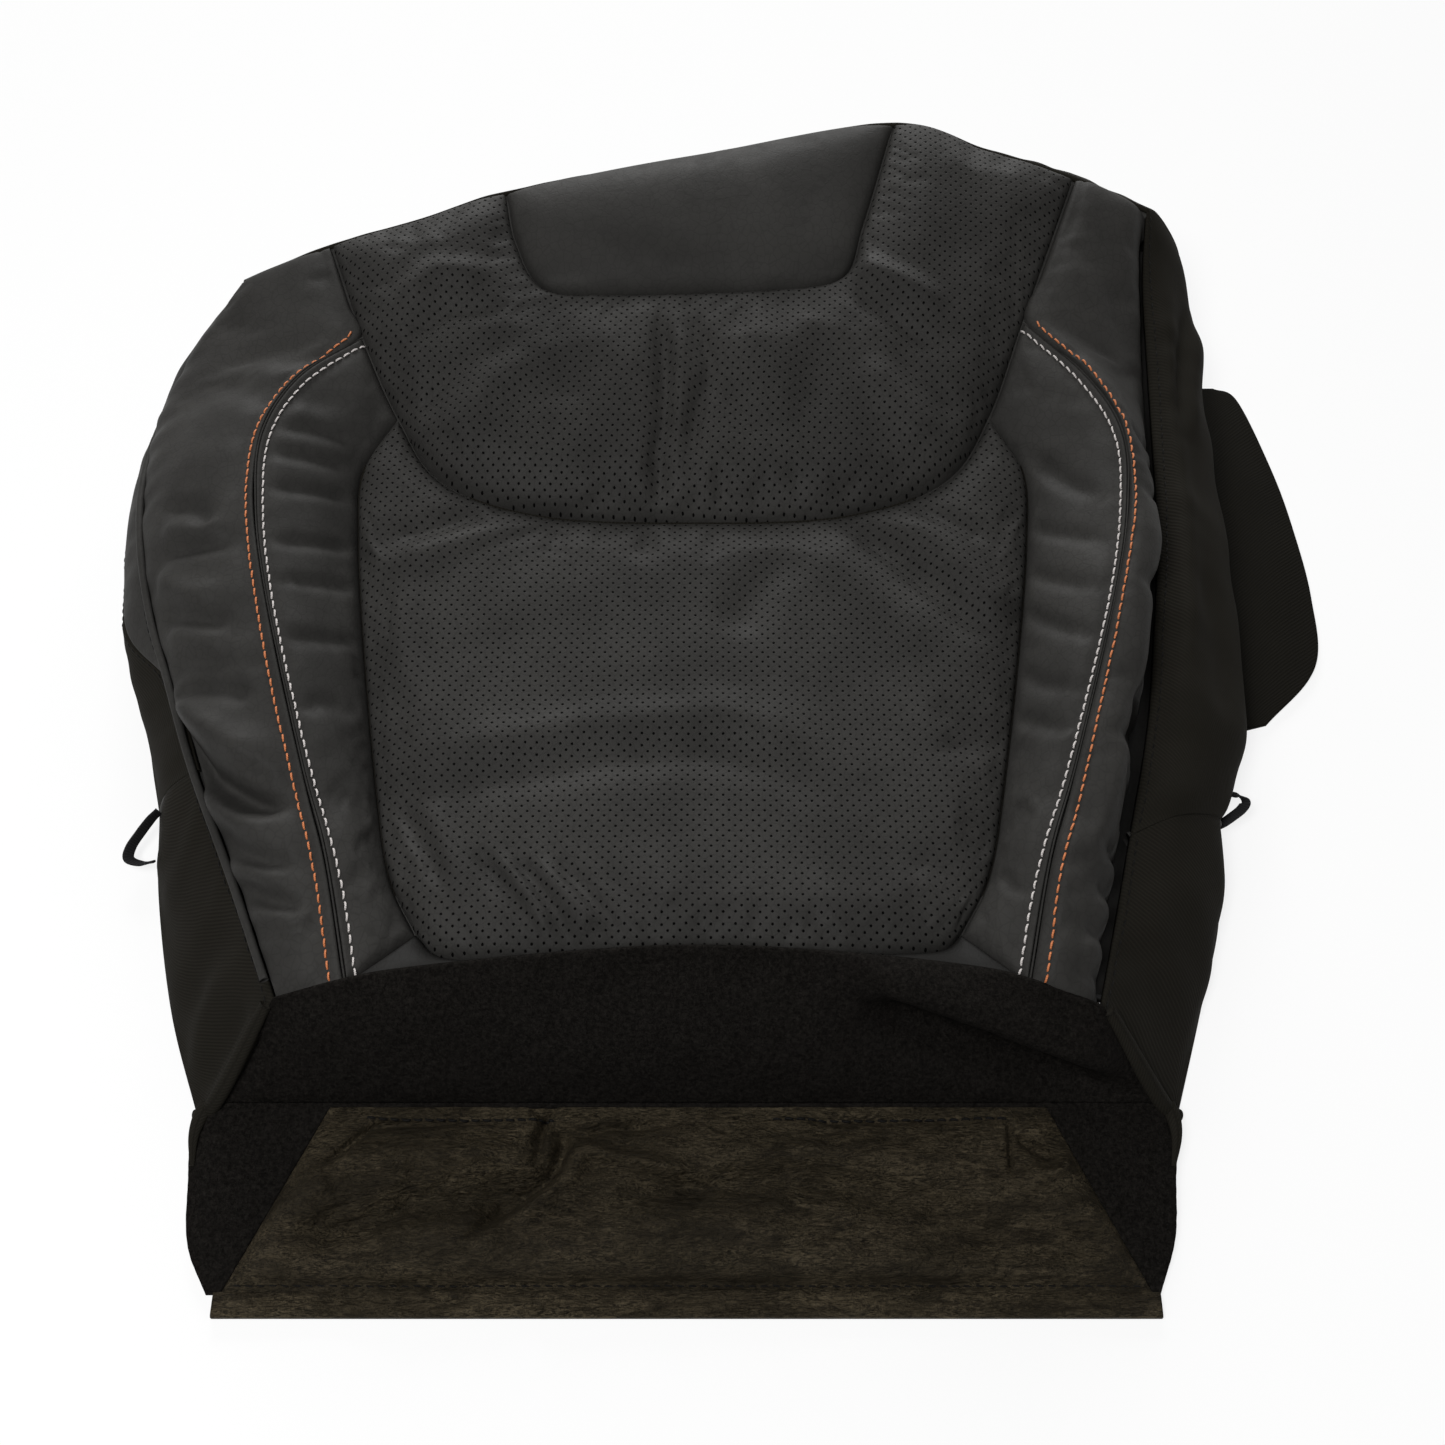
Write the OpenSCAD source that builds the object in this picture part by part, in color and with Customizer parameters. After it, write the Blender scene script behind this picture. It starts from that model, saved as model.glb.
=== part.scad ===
// Trim cover of a seat cushion: leather top panels, fabric skirts, rear felt and tail flap.
// The cover is empty and stands on a flat floor. +Y points to the cushion's front edge,
// +Z is up. The origin is at the centre of the cover's outline, on the floor.

/* [Seat insert] */
// Length of the seat insert on the centre line, rear seam to thigh seam
insert_len = 220; // [200:1:240]
// Half width of the seat insert at its rear corners
insert_rear_hw = 112; // [104:1:120]
// Half width of the seat insert at its widest, near the thigh seam
insert_front_hw = 157; // [150:1:162]
// Height of the seat surface at its lowest seam
dish_z = 42; // [36:1:46]
// How far the seat insert swells between its seams
insert_crown = 5; // [2:0.5:8]

/* [Thigh panel and nose] */
// Length of the thigh panel on the centre line
thigh_len = 116; // [104:1:128]
// Half width of the thigh seam where the insert's corners meet it
thigh_hw = 142; // [136:1:146]
// Length of the nose panel on the centre line
nose_len = 78; // [66:1:90]
// Half width of the nose panel at its rear seam
nose_hw = 76; // [66:1:84]
// Height of the nose panel's rear seam
nose_seam_z = 73; // [66:1:78]
// Height of the front edge at its highest
nose_z = 90; // [84:1:96]
// How far the right end of the front edge lies ahead of the left end
front_skew = 42; // [30:1:50]
// How far the thigh and nose panels swell
front_crown = 5; // [2:0.5:8]

/* [Bolsters] */
// Half width between the two crest seams at the rear
crest_rear_hw = 136; // [130:1:142]
// Half width between the two crest seams at their widest
crest_front_hw = 200; // [192:1:208]
// Height of the crest seams
crest_z = 73; // [68:1:80]
// Width of the left outer bolster, crest seam to piping
left_bolster_w = 58; // [50:1:66]
// Height of the piped seam of the left outer bolster
piping_z = 50; // [44:1:54]
// Diameter of the piping
piping_d = 4; // [3:0.5:5]
// Width of the right outer bolster, crest seam to the fold beside the skirt
right_bolster_w = 22; // [18:1:28]
// Height of the fold beside the right skirt
valley_z = 44; // [40:1:48]
// How far the inner bolsters swell
inner_crown = 5; // [2:0.5:7]
// How far the outer bolsters swell
outer_crown = 8; // [4:0.5:10]

/* [Skirts] */
// Width of the right skirt, fold to outer edge
right_skirt_w = 32; // [28:1:36]
// Width of the leather side panel below the piping
side_panel_w = 22; // [18:1:26]
// How far the left skirt stands out at its foot
left_skirt_flare = 28; // [22:1:32]
// Reach of the flap on the right skirt
flap_reach = 46; // [36:1:52]
// Length of the flap on the right skirt
flap_len = 206; // [180:1:220]

/* [Rear] */
// Height of the ridge at the rear, where the felt starts
ridge_z = 63; // [56:1:68]
// Distance from the insert's rear seam back to the fold line of the tail
fold_y = 52; // [46:1:58]
// Height of the fold line of the tail
fold_z = 12; // [10:1:14]
// Half width of the fold line of the tail
fold_hw = 190; // [182:1:194]
// Length of the tail from its fold line to the edge of the hem
tail_len = 83; // [74:1:98]
// Half width of the tail flap's upper edge
tail_hw = 146; // [136:1:154]
// Width of the hem
hem_w = 10; // [8:1:12]

/* [Materials] */
// Thickness of the leather with its foam backing
leather_t = 5; // [4:0.5:6]
// Thickness of the skirt fabric
fabric_t = 2; // [1.5:0.25:2.5]
// Thickness of the rear felt
felt_t = 3; // [2:0.25:3.5]
// Thickness of the tail flap
tail_t = 1.6; // [1.2:0.1:2]
// Diameter of the listing wires
wire_d = 3; // [2.5:0.5:3.5]
// Wall of the listing sleeves
sleeve_t = 1; // [0.8:0.1:1.4]
// Length of the front retainer strip
retainer_len = 220; // [160:1:240]
// Height of the front retainer strip
retainer_h = 18; // [15:1:20]
// Throat of the front retainer's hook
retainer_gap = 3.4; // [3:0.1:3.8]

/* [Hidden] */

// Gap between two panels along the seam that they share
seam_gap = 0.4;
// Clearance round the parts that fold, and round a wire in its sleeve
run_gap = 0.4;
// Distance over which a padded panel rolls down to its seam
edge_roll = 10;
// Distance over which a cloth panel rolls down to its seam
cloth_roll = 14;
// Depth of the sleeves below their seams
sleeve_drop = 11;
// Thickness of the flap on the right skirt
flap_t = 2.4;
// Height of the skirts' lower edges, which clears the floor where a skirt leans out
foot_z = 1;
// Half width of the straight stretch at the foot of the front skirt
foot_hw = 135;
// The middle of the cover's outline, which the origin is placed under
middle = [14.3, 154];

// Lines across the cover, counted forward from the insert's rear seam
nose_seam_y = insert_len + thigh_len;
front_y = nose_seam_y + nose_len;
// The seat insert's front corners and the front ends of the crest seams
corner_y = insert_len + 54;
corner_z = dish_z + 11;
crest_end_y = insert_len + 94;
skew = front_skew / 2;

// ---- Curves and surfaces ----

function mix(a, b, t) = a + (b - a) * t;
function total(list) = [for (x = list) 1] * list;

// Smooth curve through the points p; t counts the points from 0
function spline(p, t) =
    let (
        last = len(p) - 1,
        i = min(last - 1, max(0, floor(t))),
        f = t - i,
        b = p[i],
        c = p[i + 1],
        a = i > 0 ? p[i - 1] : 2 * b - c,
        d = i + 2 <= last ? p[i + 2] : 2 * c - b
    )
    b + (f * (c - a) + f * f * (2 * a - 5 * b + 4 * c - d) + f * f * f * (3 * (b - c) + d - a)) / 2;

// A seam is [points, first, last]: the stretch of a curve between two of its points
function on(seam, u) = spline(seam[0], mix(seam[1], seam[2], u));
function whole(p) = [p, 0, len(p) - 1];
function straight(a, b) = [[a, b], 0, 1];
function seam_length(seam, steps = 12) =
    total([for (k = [1:steps]) norm(on(seam, k / steps) - on(seam, (k - 1) / steps))]);

// Surface between four seams: u runs along rear and front, v along left and right
function between(rear, front, left, right) = function(u, v)
    mix(on(rear, u), on(front, u), v) + mix(on(left, v), on(right, v), u)
    - mix(mix(on(rear, 0), on(rear, 1), u), mix(on(front, 0), on(front, 1), u), v);

// Outward direction of a surface
function facing(shape, u, v, step = 0.02) =
    let (
        across = shape(min(1, u + step), v) - shape(max(0, u - step), v),
        along = shape(u, min(1, v + step)) - shape(u, max(0, v - step)),
        way = cross(across, along)
    )
    way / norm(way);

// A fold is [start, end, width, height]: a ridge, or a furrow if its height is below 0
function fold_rise(folds, p) = len(folds) == 0 ? 0 : total([
    for (f = folds)
        let (
            a = f[0],
            b = f[1],
            t = min(1, max(0, (p - a) * (b - a) / ((b - a) * (b - a)))),
            off = norm(p - mix(a, b, t)) / f[2]
        )
        f[3] * exp(-off * off)
]);

// A surface swollen between its seams
function swollen(base, crown, folds = [], roll = edge_roll) =
    let (
        len_u = seam_length([[for (k = [0:8]) base(k / 8, 0.5)], 0, 8]),
        len_v = seam_length([[for (k = [0:8]) base(0.5, k / 8)], 0, 8])
    )
    function(u, v)
        let (
            p = base(u, v),
            near_u = 1 - exp(-min(u, 1 - u) * len_u / roll),
            near_v = 1 - exp(-min(v, 1 - v) * len_v / roll)
        )
        p + facing(base, u, v) * near_u * near_v * (crown + fold_rise(folds, [p.x, p.y]));

// Even steps from 0 to 1, drawn a little towards both ends
function steps(n) = [for (k = [0:n]) mix(k / n, 0.5 - 0.5 * cos(180 * k / n), 0.5)];

// ---- Solids ----

// Share of the way from a to b that a distance takes up
function share(distance, a, b) = min(0.3, distance / norm(b - a));

// Closed solid of a swollen surface; trim is how far it stays from its four seams
module sheet(shape, cols, rows, thick, trim = [0, 0, 0, 0], bevel = 1) {
    u_steps = steps(cols);
    v_steps = steps(rows);
    inset = [for (t = trim) t + seam_gap / 2];
    // Ends of each row and each column, where the insets are measured
    row_ends = [for (t = v_steps) [shape(0, t), shape(1, t)]];
    col_ends = [for (s = u_steps) [shape(s, 0), shape(s, 1)]];
    function place(i, j, extra) =
        let (r = row_ends[j], c = col_ends[i])
        [
            mix(share(inset[0] + extra, r[0], r[1]), 1 - share(inset[1] + extra, r[0], r[1]), u_steps[i]),
            mix(share(inset[2] + extra, c[0], c[1]), 1 - share(inset[3] + extra, c[0], c[1]), v_steps[j])
        ];
    top = [
        for (i = [0:cols])
            for (j = [0:rows]) let (q = place(i, j, 0)) shape(q.x, q.y)
    ];
    under = [
        for (i = [0:cols])
            for (j = [0:rows])
                let (q = place(i, j, bevel * thick))
                shape(q.x, q.y) - facing(shape, q.x, q.y) * thick
    ];
    count = (cols + 1) * (rows + 1);
    edge = concat(
        [for (i = [0:cols - 1]) i * (rows + 1)],
        [for (j = [0:rows - 1]) cols * (rows + 1) + j],
        [for (i = [cols:-1:1]) i * (rows + 1) + rows],
        [for (j = [rows:-1:1]) j]
    );
    grid_faces = [
        for (i = [0:cols - 1])
            for (j = [0:rows - 1])
                let (a = i * (rows + 1) + j, b = a + rows + 1)
                each [[a, b + 1, b], [a, a + 1, b + 1]]
    ];
    wall_faces = [
        for (k = [0:len(edge) - 1])
            let (a = edge[k], b = edge[(k + 1) % len(edge)])
            each [[a, b, b + count], [a, b + count, a + count]]
    ];
    under_faces = [for (f = grid_faces) [f[0] + count, f[2] + count, f[1] + count]];
    polyhedron(concat(top, under), concat(grid_faces, wall_faces, under_faces), convexity = 6);
}

// Place of each ring along a path, as [point, sideways, upwards]
function frames(path) = [
    for (i = [0:len(path) - 1])
        let (
            way = path[min(len(path) - 1, i + 1)] - path[max(0, i - 1)],
            side = cross(way, [0, 0, 1]) / norm(cross(way, [0, 0, 1])),
            up = cross(side, way) / norm(way)
        )
        [path[i], side, up]
];
function rings(path, section) = [
    for (f = frames(path))
        for (q = section) f[0] + q.x * f[1] + q.y * f[2]
];
function circle_section(r, sides) = [
    for (k = [0:sides - 1]) r * [sin(360 * k / sides), cos(360 * k / sides)]
];

// Solid swept along a path; its section is a convex outline
module swept(path, section) {
    n = len(section);
    last = (len(path) - 1) * n;
    walls = [
        for (i = [0:len(path) - 2])
            for (k = [0:n - 1])
                let (a = i * n + k, b = i * n + (k + 1) % n)
                each [[a, b + n, b], [a, a + n, b + n]]
    ];
    start_cap = [for (k = [1:n - 2]) [0, k, k + 1]];
    end_cap = [for (k = [1:n - 2]) [last, last + k + 1, last + k]];
    polyhedron(rings(path, section), concat(walls, start_cap, end_cap), convexity = 6);
}

// Hollow solid swept along a path; outline and hole have as many points
module swept_tube(path, outline, hole) {
    n = len(outline);
    count = len(path) * n;
    last = count - n;
    outer = [
        for (i = [0:len(path) - 2])
            for (k = [0:n - 1])
                let (a = i * n + k, b = i * n + (k + 1) % n)
                each [[a, b + n, b], [a, a + n, b + n]]
    ];
    inner = [for (f = outer) [f[0] + count, f[2] + count, f[1] + count]];
    caps = [
        for (k = [0:n - 1])
            let (a = k, b = (k + 1) % n)
            each [
                [a, b + count, a + count], [a, b, b + count],
                [a + last, a + count + last, b + count + last], [a + last, b + count + last, b + last]
            ]
    ];
    polyhedron(
        concat(rings(path, outline), rings(path, hole)),
        concat(outer, inner, caps),
        convexity = 6
    );
}

// ---- Seams ----

// A lengthwise seam from its table of [width share, length share, height share]
function side_seam(side, table, narrow, wide, low, high) = [
    for (r = table) [side * mix(narrow, wide, r[0]), r[1] * insert_len, mix(low, high, r[2])]
];

// Side seams of the seat insert, rear to front
INSERT_SIDE = [
    [0, 0.04, 0.1], [0.3, 0.16, 0.06], [0.5, 0.33, 0], [0.8, 0.68, 0], [0.98, 0.95, 0.06], [1, 1.12, 0.16]
];
function insert_corner(side) = [side * thigh_hw, corner_y, corner_z];
function insert_side(side) = concat(
    side_seam(side, INSERT_SIDE, insert_rear_hw, insert_front_hw, dish_z, crest_z),
    [insert_corner(side)]
);

// Crest seams between inner and outer bolsters, rear to front
CREST = [
    [0, -0.08, 0], [0.2, 0.17, 0.5], [0.42, 0.36, 0.65], [0.81, 0.74, 0.9],
    [0.97, 0.96, 1], [1, 1.14, 1], [0.8, 1.3, 0.85]
];
crest_rear_z = crest_z - 16;
function crest_end(side) = [side * (thigh_hw + 19), crest_end_y + (side > 0 ? 10 : 0), crest_z - 7];
function crest_seam(side) = concat(
    side_seam(side, CREST, crest_rear_hw, crest_front_hw, crest_rear_z, crest_z),
    [crest_end(side)]
);

// Front edge, left to right; the right end lies ahead of the left end
front_edge = [
    [-crest_front_hw - 23, front_y - 42 - skew, crest_z - 7],
    [-crest_front_hw + 20, front_y - 27 - skew, crest_z + 2],
    [-thigh_hw + 7, front_y - 13 - skew, nose_z - 11],
    [-nose_hw - 18, front_y - skew, nose_z - 6],
    [0, front_y, nose_z - 2],
    [nose_hw + 25, front_y + skew, nose_z],
    [thigh_hw + 6, front_y - 15 + skew, nose_z - 4],
    [crest_front_hw - 9, front_y - 30 + skew, nose_z - 8],
    [crest_front_hw + 28, front_y - 44 + skew, crest_z + 1]
];

// Seam round the rear of the thigh panel, from the front edge at the left to that at the right
thigh_seam = [
    front_edge[1],
    crest_end(-1),
    insert_corner(-1),
    [-thigh_hw + 23, insert_len + 20, dish_z + 5],
    [-thigh_hw / 2, insert_len + 3, dish_z + 1],
    [0, insert_len, dish_z],
    [thigh_hw / 2, insert_len + 3, dish_z + 1],
    [thigh_hw - 23, insert_len + 20, dish_z + 5],
    insert_corner(1),
    crest_end(1),
    front_edge[7]
];

// Seam round the rear of the nose panel
nose_seam = [
    front_edge[3],
    [-nose_hw - 12, nose_seam_y + 28, nose_seam_z + 6],
    [-nose_hw + 3, nose_seam_y + 2, nose_seam_z + 1],
    [-nose_hw / 2, nose_seam_y - 1, nose_seam_z],
    [nose_hw / 2, nose_seam_y + 2, nose_seam_z],
    [nose_hw - 3, nose_seam_y + 9, nose_seam_z + 2],
    [nose_hw + 8, nose_seam_y + 38, nose_seam_z + 8],
    front_edge[5]
];

// Rear seam of the seat insert, and the ridge where the felt starts
insert_rear = [
    insert_side(-1)[0],
    [-insert_rear_hw + 14, -2, dish_z + 4],
    [-insert_rear_hw / 2, -4, dish_z + 7],
    [0, 0, dish_z + 9],
    [insert_rear_hw / 2, -2, dish_z + 7],
    [insert_rear_hw - 12, 1, dish_z + 4],
    insert_side(1)[0]
];
ridge_end_y = -23;
ridge_end_z = ridge_z - 13;
ridge = [
    [-crest_rear_hw - 29, ridge_end_y, ridge_end_z],
    crest_seam(-1)[0],
    [-insert_rear_hw, -14, ridge_z - 4],
    [-insert_rear_hw / 2, -9, ridge_z - 1],
    [0, -6, ridge_z],
    [insert_rear_hw / 2, -8, ridge_z - 1],
    [insert_rear_hw, -13, ridge_z - 4],
    crest_seam(1)[0],
    [crest_rear_hw + 29, ridge_end_y - 3, ridge_end_z]
];

// Outer seam of the left bolster, front to rear: the piped seam
outer_left = [
    front_edge[0],
    [-crest_front_hw + 14 - left_bolster_w, insert_len + 96, piping_z + 12],
    [-crest_front_hw + 2 - left_bolster_w, insert_len + 64, piping_z + 6],
    [-crest_front_hw - 1 - left_bolster_w, insert_len + 36, piping_z + 3],
    [-crest_front_hw + 3 - left_bolster_w, insert_len - 12, piping_z],
    [-crest_front_hw + 14 - left_bolster_w, insert_len - 56, piping_z - 1],
    [-crest_front_hw + 27 - left_bolster_w, insert_len - 90, piping_z - 2],
    [-crest_front_hw + 45 - left_bolster_w, insert_len - 136, piping_z - 2],
    [-crest_rear_hw - 52, 30, piping_z - 1],
    ridge[0]
];

// Fold between the right bolster and the right skirt, front to rear
valley = [
    front_edge[8],
    [crest_front_hw + right_bolster_w + 3, insert_len + 136, valley_z + 16],
    [crest_front_hw + right_bolster_w + 2, insert_len + 96, valley_z + 7],
    [crest_front_hw + right_bolster_w, insert_len + 48, valley_z + 2],
    [crest_front_hw + right_bolster_w - 4, insert_len - 10, valley_z],
    [crest_front_hw + right_bolster_w - 11, insert_len - 58, valley_z - 1],
    [crest_front_hw + right_bolster_w - 20, insert_len - 110, valley_z - 2],
    [crest_front_hw + right_bolster_w - 34, 56, valley_z - 2],
    [crest_rear_hw + 40, 12, valley_z + 1],
    ridge[8]
];

// Lower edge of the leather side panel, rear to front
side_low = [
    outer_left[6] + [-2, 2, -5],
    outer_left[5] + [-14, -4, -side_panel_w * 0.6],
    outer_left[4] + [-13, -8, -side_panel_w],
    outer_left[4] + [-15, 22, -side_panel_w],
    outer_left[3] + [-7, 8, -side_panel_w - 2],
    outer_left[1] + [-14, -2, -side_panel_w - 4],
    outer_left[0] + [-12, 2, -side_panel_w - 8]
];

// Corners of the cover, from the front edge or the ridge down to the floor
corner_left = [front_edge[0], side_low[6], [outer_left[0].x - 12, outer_left[0].y + 8, foot_z]];
corner_right = [
    front_edge[8],
    front_edge[8] + [8, 4, -9],
    front_edge[8] + [21, -3, -28],
    front_edge[8] + [26, -10, -52],
    [front_edge[8].x + 25, front_edge[8].y - 14, foot_z]
];
rear_left = [ridge[0], [-fold_hw - 1, -fold_y + 0.5, fold_z], [-fold_hw - 13, -fold_y - 3, foot_z]];
rear_right = [ridge[8], [fold_hw + 1, -fold_y + 0.5, fold_z], [fold_hw + 12, -fold_y - 3, foot_z]];

// Seams between the upper and the lower skirts, top to bottom
joint_left = [
    outer_left[7],
    outer_left[7] + [-left_skirt_flare * 0.6, 0, -20],
    [outer_left[7].x - left_skirt_flare, outer_left[7].y + 2, foot_z]
];
joint_right = [
    valley[7],
    valley[7] + [right_skirt_w * 0.7, 10, -2],
    valley[7] + [right_skirt_w + 12, 18, -20],
    [valley[7].x + right_skirt_w + 13, valley[7].y + 20, foot_z]
];

// Feet of the skirts on the floor
foot_left_upper = [
    joint_left[2],
    joint_left[2] + [-9, 32, 0],
    joint_left[2] + [-19, 78, 0],
    joint_left[2] + [-23, 130, 0],
    joint_left[2] + [-21, 180, 0],
    joint_left[2] + [-10, 226, 0],
    corner_left[2]
];
foot_left_lower = [rear_left[2], rear_left[2] + [-18, 46, 0], rear_left[2] + [-32, 100, 0], joint_left[2]];
foot_right_upper = [
    corner_right[4],
    [crest_front_hw + 50, insert_len + 105, foot_z],
    [crest_front_hw + 50, insert_len + 50, foot_z],
    [crest_front_hw + 50, insert_len, foot_z],
    [crest_front_hw + 50, insert_len - 50, foot_z],
    [crest_front_hw + 49, insert_len - 100, foot_z],
    joint_right[3]
];
foot_right_lower = [
    joint_right[3], [crest_front_hw + 32, 36, foot_z], [crest_front_hw + 18, -8, foot_z], rear_right[2]
];

// Foot of the front skirt: straight in the middle, where the retainer is sewn on
front_slope = skew / (nose_hw + 21);
function foot_point(x) = [x, front_y + front_slope * x, foot_z];
foot_front = [
    corner_left[2],
    [-foot_hw - 42, front_y - skew - 24, foot_z],
    foot_point(-foot_hw),
    foot_point(-foot_hw / 3),
    foot_point(foot_hw / 3),
    foot_point(foot_hw),
    [foot_hw + 56, front_y + skew - 14, foot_z],
    corner_right[4]
];

// Points along one seam and then along the next
function chain(first, second) = whole(concat(
    [for (k = [0:7]) on(first, k / 8)],
    [for (k = [0:3]) on(second, k / 3)]
));

// ---- Leather panels ----

LEATHER = [0.09, 0.09, 0.09];
PERFORATED = [0.14, 0.14, 0.14];

module seat_insert() {
    furrows = [[[20, 110, 60], [48, 128, 60], 9, -1.5], [[-100, 75, 60], [20, 92, 60], 12, 1.5]];
    base = between(
        whole(insert_rear), [thigh_seam, 2, 8], whole(insert_side(-1)), whole(insert_side(1))
    );
    color(PERFORATED) sheet(swollen(base, insert_crown), 18, 12, leather_t);
}

module thigh_panel() {
    base = between(whole(thigh_seam), whole(nose_seam), [front_edge, 1, 3], [front_edge, 7, 5]);
    ridges = [
        [[-2, insert_len + 4], [4, nose_seam_y - 4], 10, 3],
        [[-nose_hw, nose_seam_y], [-thigh_hw + 10, insert_len + 60], 12, 3],
        [[nose_hw, nose_seam_y + 6], [thigh_hw - 8, insert_len + 70], 12, 3]
    ];
    color(PERFORATED) sheet(swollen(base, front_crown, ridges), 30, 6, leather_t);
}

module nose_panel() {
    base = between([nose_seam, 2, 5], [front_edge, 3, 5], [nose_seam, 2, 0], [nose_seam, 5, 7]);
    color(LEATHER) sheet(swollen(base, front_crown), 14, 8, leather_t);
}

module inner_bolster_left() {
    base = between(
        straight(crest_seam(-1)[0], insert_side(-1)[0]), [thigh_seam, 1, 2],
        whole(crest_seam(-1)), whole(insert_side(-1))
    );
    color(LEATHER) sheet(swollen(base, inner_crown), 5, 20, leather_t);
}

module inner_bolster_right() {
    base = between(
        straight(insert_side(1)[0], crest_seam(1)[0]), [thigh_seam, 8, 9],
        whole(insert_side(1)), whole(crest_seam(1))
    );
    color(LEATHER) sheet(swollen(base, inner_crown), 5, 20, leather_t);
}

module outer_bolster_left() {
    base = between(
        [ridge, 0, 1], [front_edge, 0, 1],
        [outer_left, 9, 0], chain(whole(crest_seam(-1)), [thigh_seam, 1, 0])
    );
    // The long slanting fold that the drape leaves across the bolster's rear half
    folds = [[[-236, 118], [-186, 84], 9, 5], [[-222, 92], [-176, 62], 8, -4]];
    color(LEATHER)
        sheet(swollen(base, outer_crown, folds), 7, 22, leather_t, [piping_d / 2 + 0.4, 0, 0, 0]);
}

module outer_bolster_right() {
    base = between(
        [ridge, 7, 8], [front_edge, 7, 8],
        chain(whole(crest_seam(1)), [thigh_seam, 9, 10]), [valley, 9, 0]
    );
    color(LEATHER) sheet(swollen(base, outer_crown / 2), 5, 22, leather_t);
}

module rear_bridge() {
    base = between(
        [ridge, 1, 7], whole(insert_rear),
        straight(crest_seam(-1)[0], insert_side(-1)[0]), straight(crest_seam(1)[0], insert_side(1)[0])
    );
    color(LEATHER) sheet(swollen(base, 1), 16, 2, fabric_t, [0, 0, 1, 0], 1.6);
}

module side_panel_left() {
    base = between(
        [outer_left, 6, 0], whole(side_low), straight(outer_left[6], side_low[0]), [corner_left, 0, 1]
    );
    color(LEATHER) sheet(swollen(base, 3), 14, 4, fabric_t, [0, 0, piping_d / 2 + 1, 0]);
}

// The piping stands out of its seam by this much
piping_lift = [-0.8, 0, 0.8];

module piping_left() {
    path = [for (k = [0:26]) on([outer_left, 0, 9], mix(0.02, 0.98, k / 26)) + piping_lift];
    color(LEATHER) swept(path, circle_section(piping_d / 2, 8));
}

// ---- Skirts ----

SKIRT = [0.16, 0.16, 0.17];

module front_skirt() {
    base = between(whole(front_edge), whole(foot_front), whole(corner_left), whole(corner_right));
    color(SKIRT) sheet(swollen(base, 2, [], cloth_roll), 22, 5, fabric_t);
}

module skirt_left_upper() {
    top = concat([outer_left[7]], side_low);
    base = between(whole(top), whole(foot_left_upper), whole(joint_left), [corner_left, 1, 2]);
    color(SKIRT) sheet(swollen(base, 2, [], cloth_roll), 12, 3, fabric_t);
}

module skirt_left_lower() {
    base = between([outer_left, 9, 7], whole(foot_left_lower), whole(rear_left), whole(joint_left));
    color(SKIRT)
        sheet(swollen(base, 3, [], cloth_roll), 12, 4, fabric_t, [0, 0, piping_d / 2, 0]);
}

module skirt_right_upper() {
    base = between(
        [valley, 0, 7], whole(foot_right_upper), whole(corner_right), whole(joint_right)
    );
    color(SKIRT) sheet(swollen(base, 4, [], cloth_roll), 20, 7, fabric_t);
}

module skirt_right_lower() {
    base = between([valley, 7, 9], whole(foot_right_lower), whole(joint_right), whole(rear_right));
    color(SKIRT) sheet(swollen(base, 3, [], cloth_roll), 10, 4, fabric_t);
}

// ---- Rear felt and tail ----

FELT = [0.2, 0.19, 0.18];
TAIL = [0.24, 0.22, 0.18];
// The fold line's axis, and the radius of the bound edge that turns on it
fold_axis_z = fold_z - felt_t / 2;
binding_r = 1.5;
hem_y = -fold_y - tail_len;
hem_hw = fold_hw - 4;
hem_t = 4;

module rear_felt() {
    base = between(
        straight(rear_left[1], rear_right[1]), whole(ridge), [rear_left, 1, 0], [rear_right, 1, 0]
    );
    color(FELT)
        sheet(swollen(base, 4, [], cloth_roll), 20, 6, felt_t, [0, 0, binding_r - 0.4, 0], 0.8);
}

// Rolled and stitched edge that joins the tail to the felt, on the fold's axis
module tail_binding() {
    color(TAIL)
        translate([-fold_hw, -fold_y, fold_axis_z])
            rotate([0, 90, 0])
                cylinder(r = binding_r, h = 2 * fold_hw, $fn = 24);
}

// Points on the tail, counted from the fold line's middle; depth 0 is the fold, 1 the hem
function tail_point(x, depth) = [
    x,
    mix(-fold_y, hem_y + hem_w, depth),
    mix(fold_axis_z + tail_t / 2, hem_t - 0.6, depth)
];
module tail_cloth(left, right, crown, folds, cols) {
    base = between(
        straight(left[0], right[0]), straight(left[len(left) - 1], right[len(right) - 1]),
        whole(left), whole(right)
    );
    sheet(swollen(base, crown, folds, cloth_roll), cols, 6, tail_t, [0, 0, 0, binding_r], 0.5);
}

// Slanting seams between the flap and its two wings, hem to fold
wing_foot = 3;
flap_left = [tail_point(-hem_hw + wing_foot, 1), tail_point(-tail_hw, 0)];
flap_right = [tail_point(hem_hw - wing_foot, 1), tail_point(tail_hw, 0)];
// The wings' free edges bulge past the fold line's ends
left_bulge = 11;
right_bulge = 6;
edge_left = [
    tail_point(-hem_hw, 1), tail_point(-fold_hw - left_bulge, 0.68),
    tail_point(-fold_hw - left_bulge, 0.34), tail_point(-fold_hw, 0)
];
edge_right = [
    tail_point(hem_hw, 1), tail_point(fold_hw + right_bulge, 0.68),
    tail_point(fold_hw + right_bulge, 0.34), tail_point(fold_hw, 0)
];

module tail_flap() {
    // The pleat left of the middle and the shallow creases that run from it
    folds = [
        [[-74, -fold_y - 10], [-60, -fold_y - 44], 7, 1.6],
        [[60, -fold_y - 20], [110, -fold_y - 60], 12, 1]
    ];
    color(TAIL) tail_cloth(flap_left, flap_right, 1, folds, 20);
}

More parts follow.
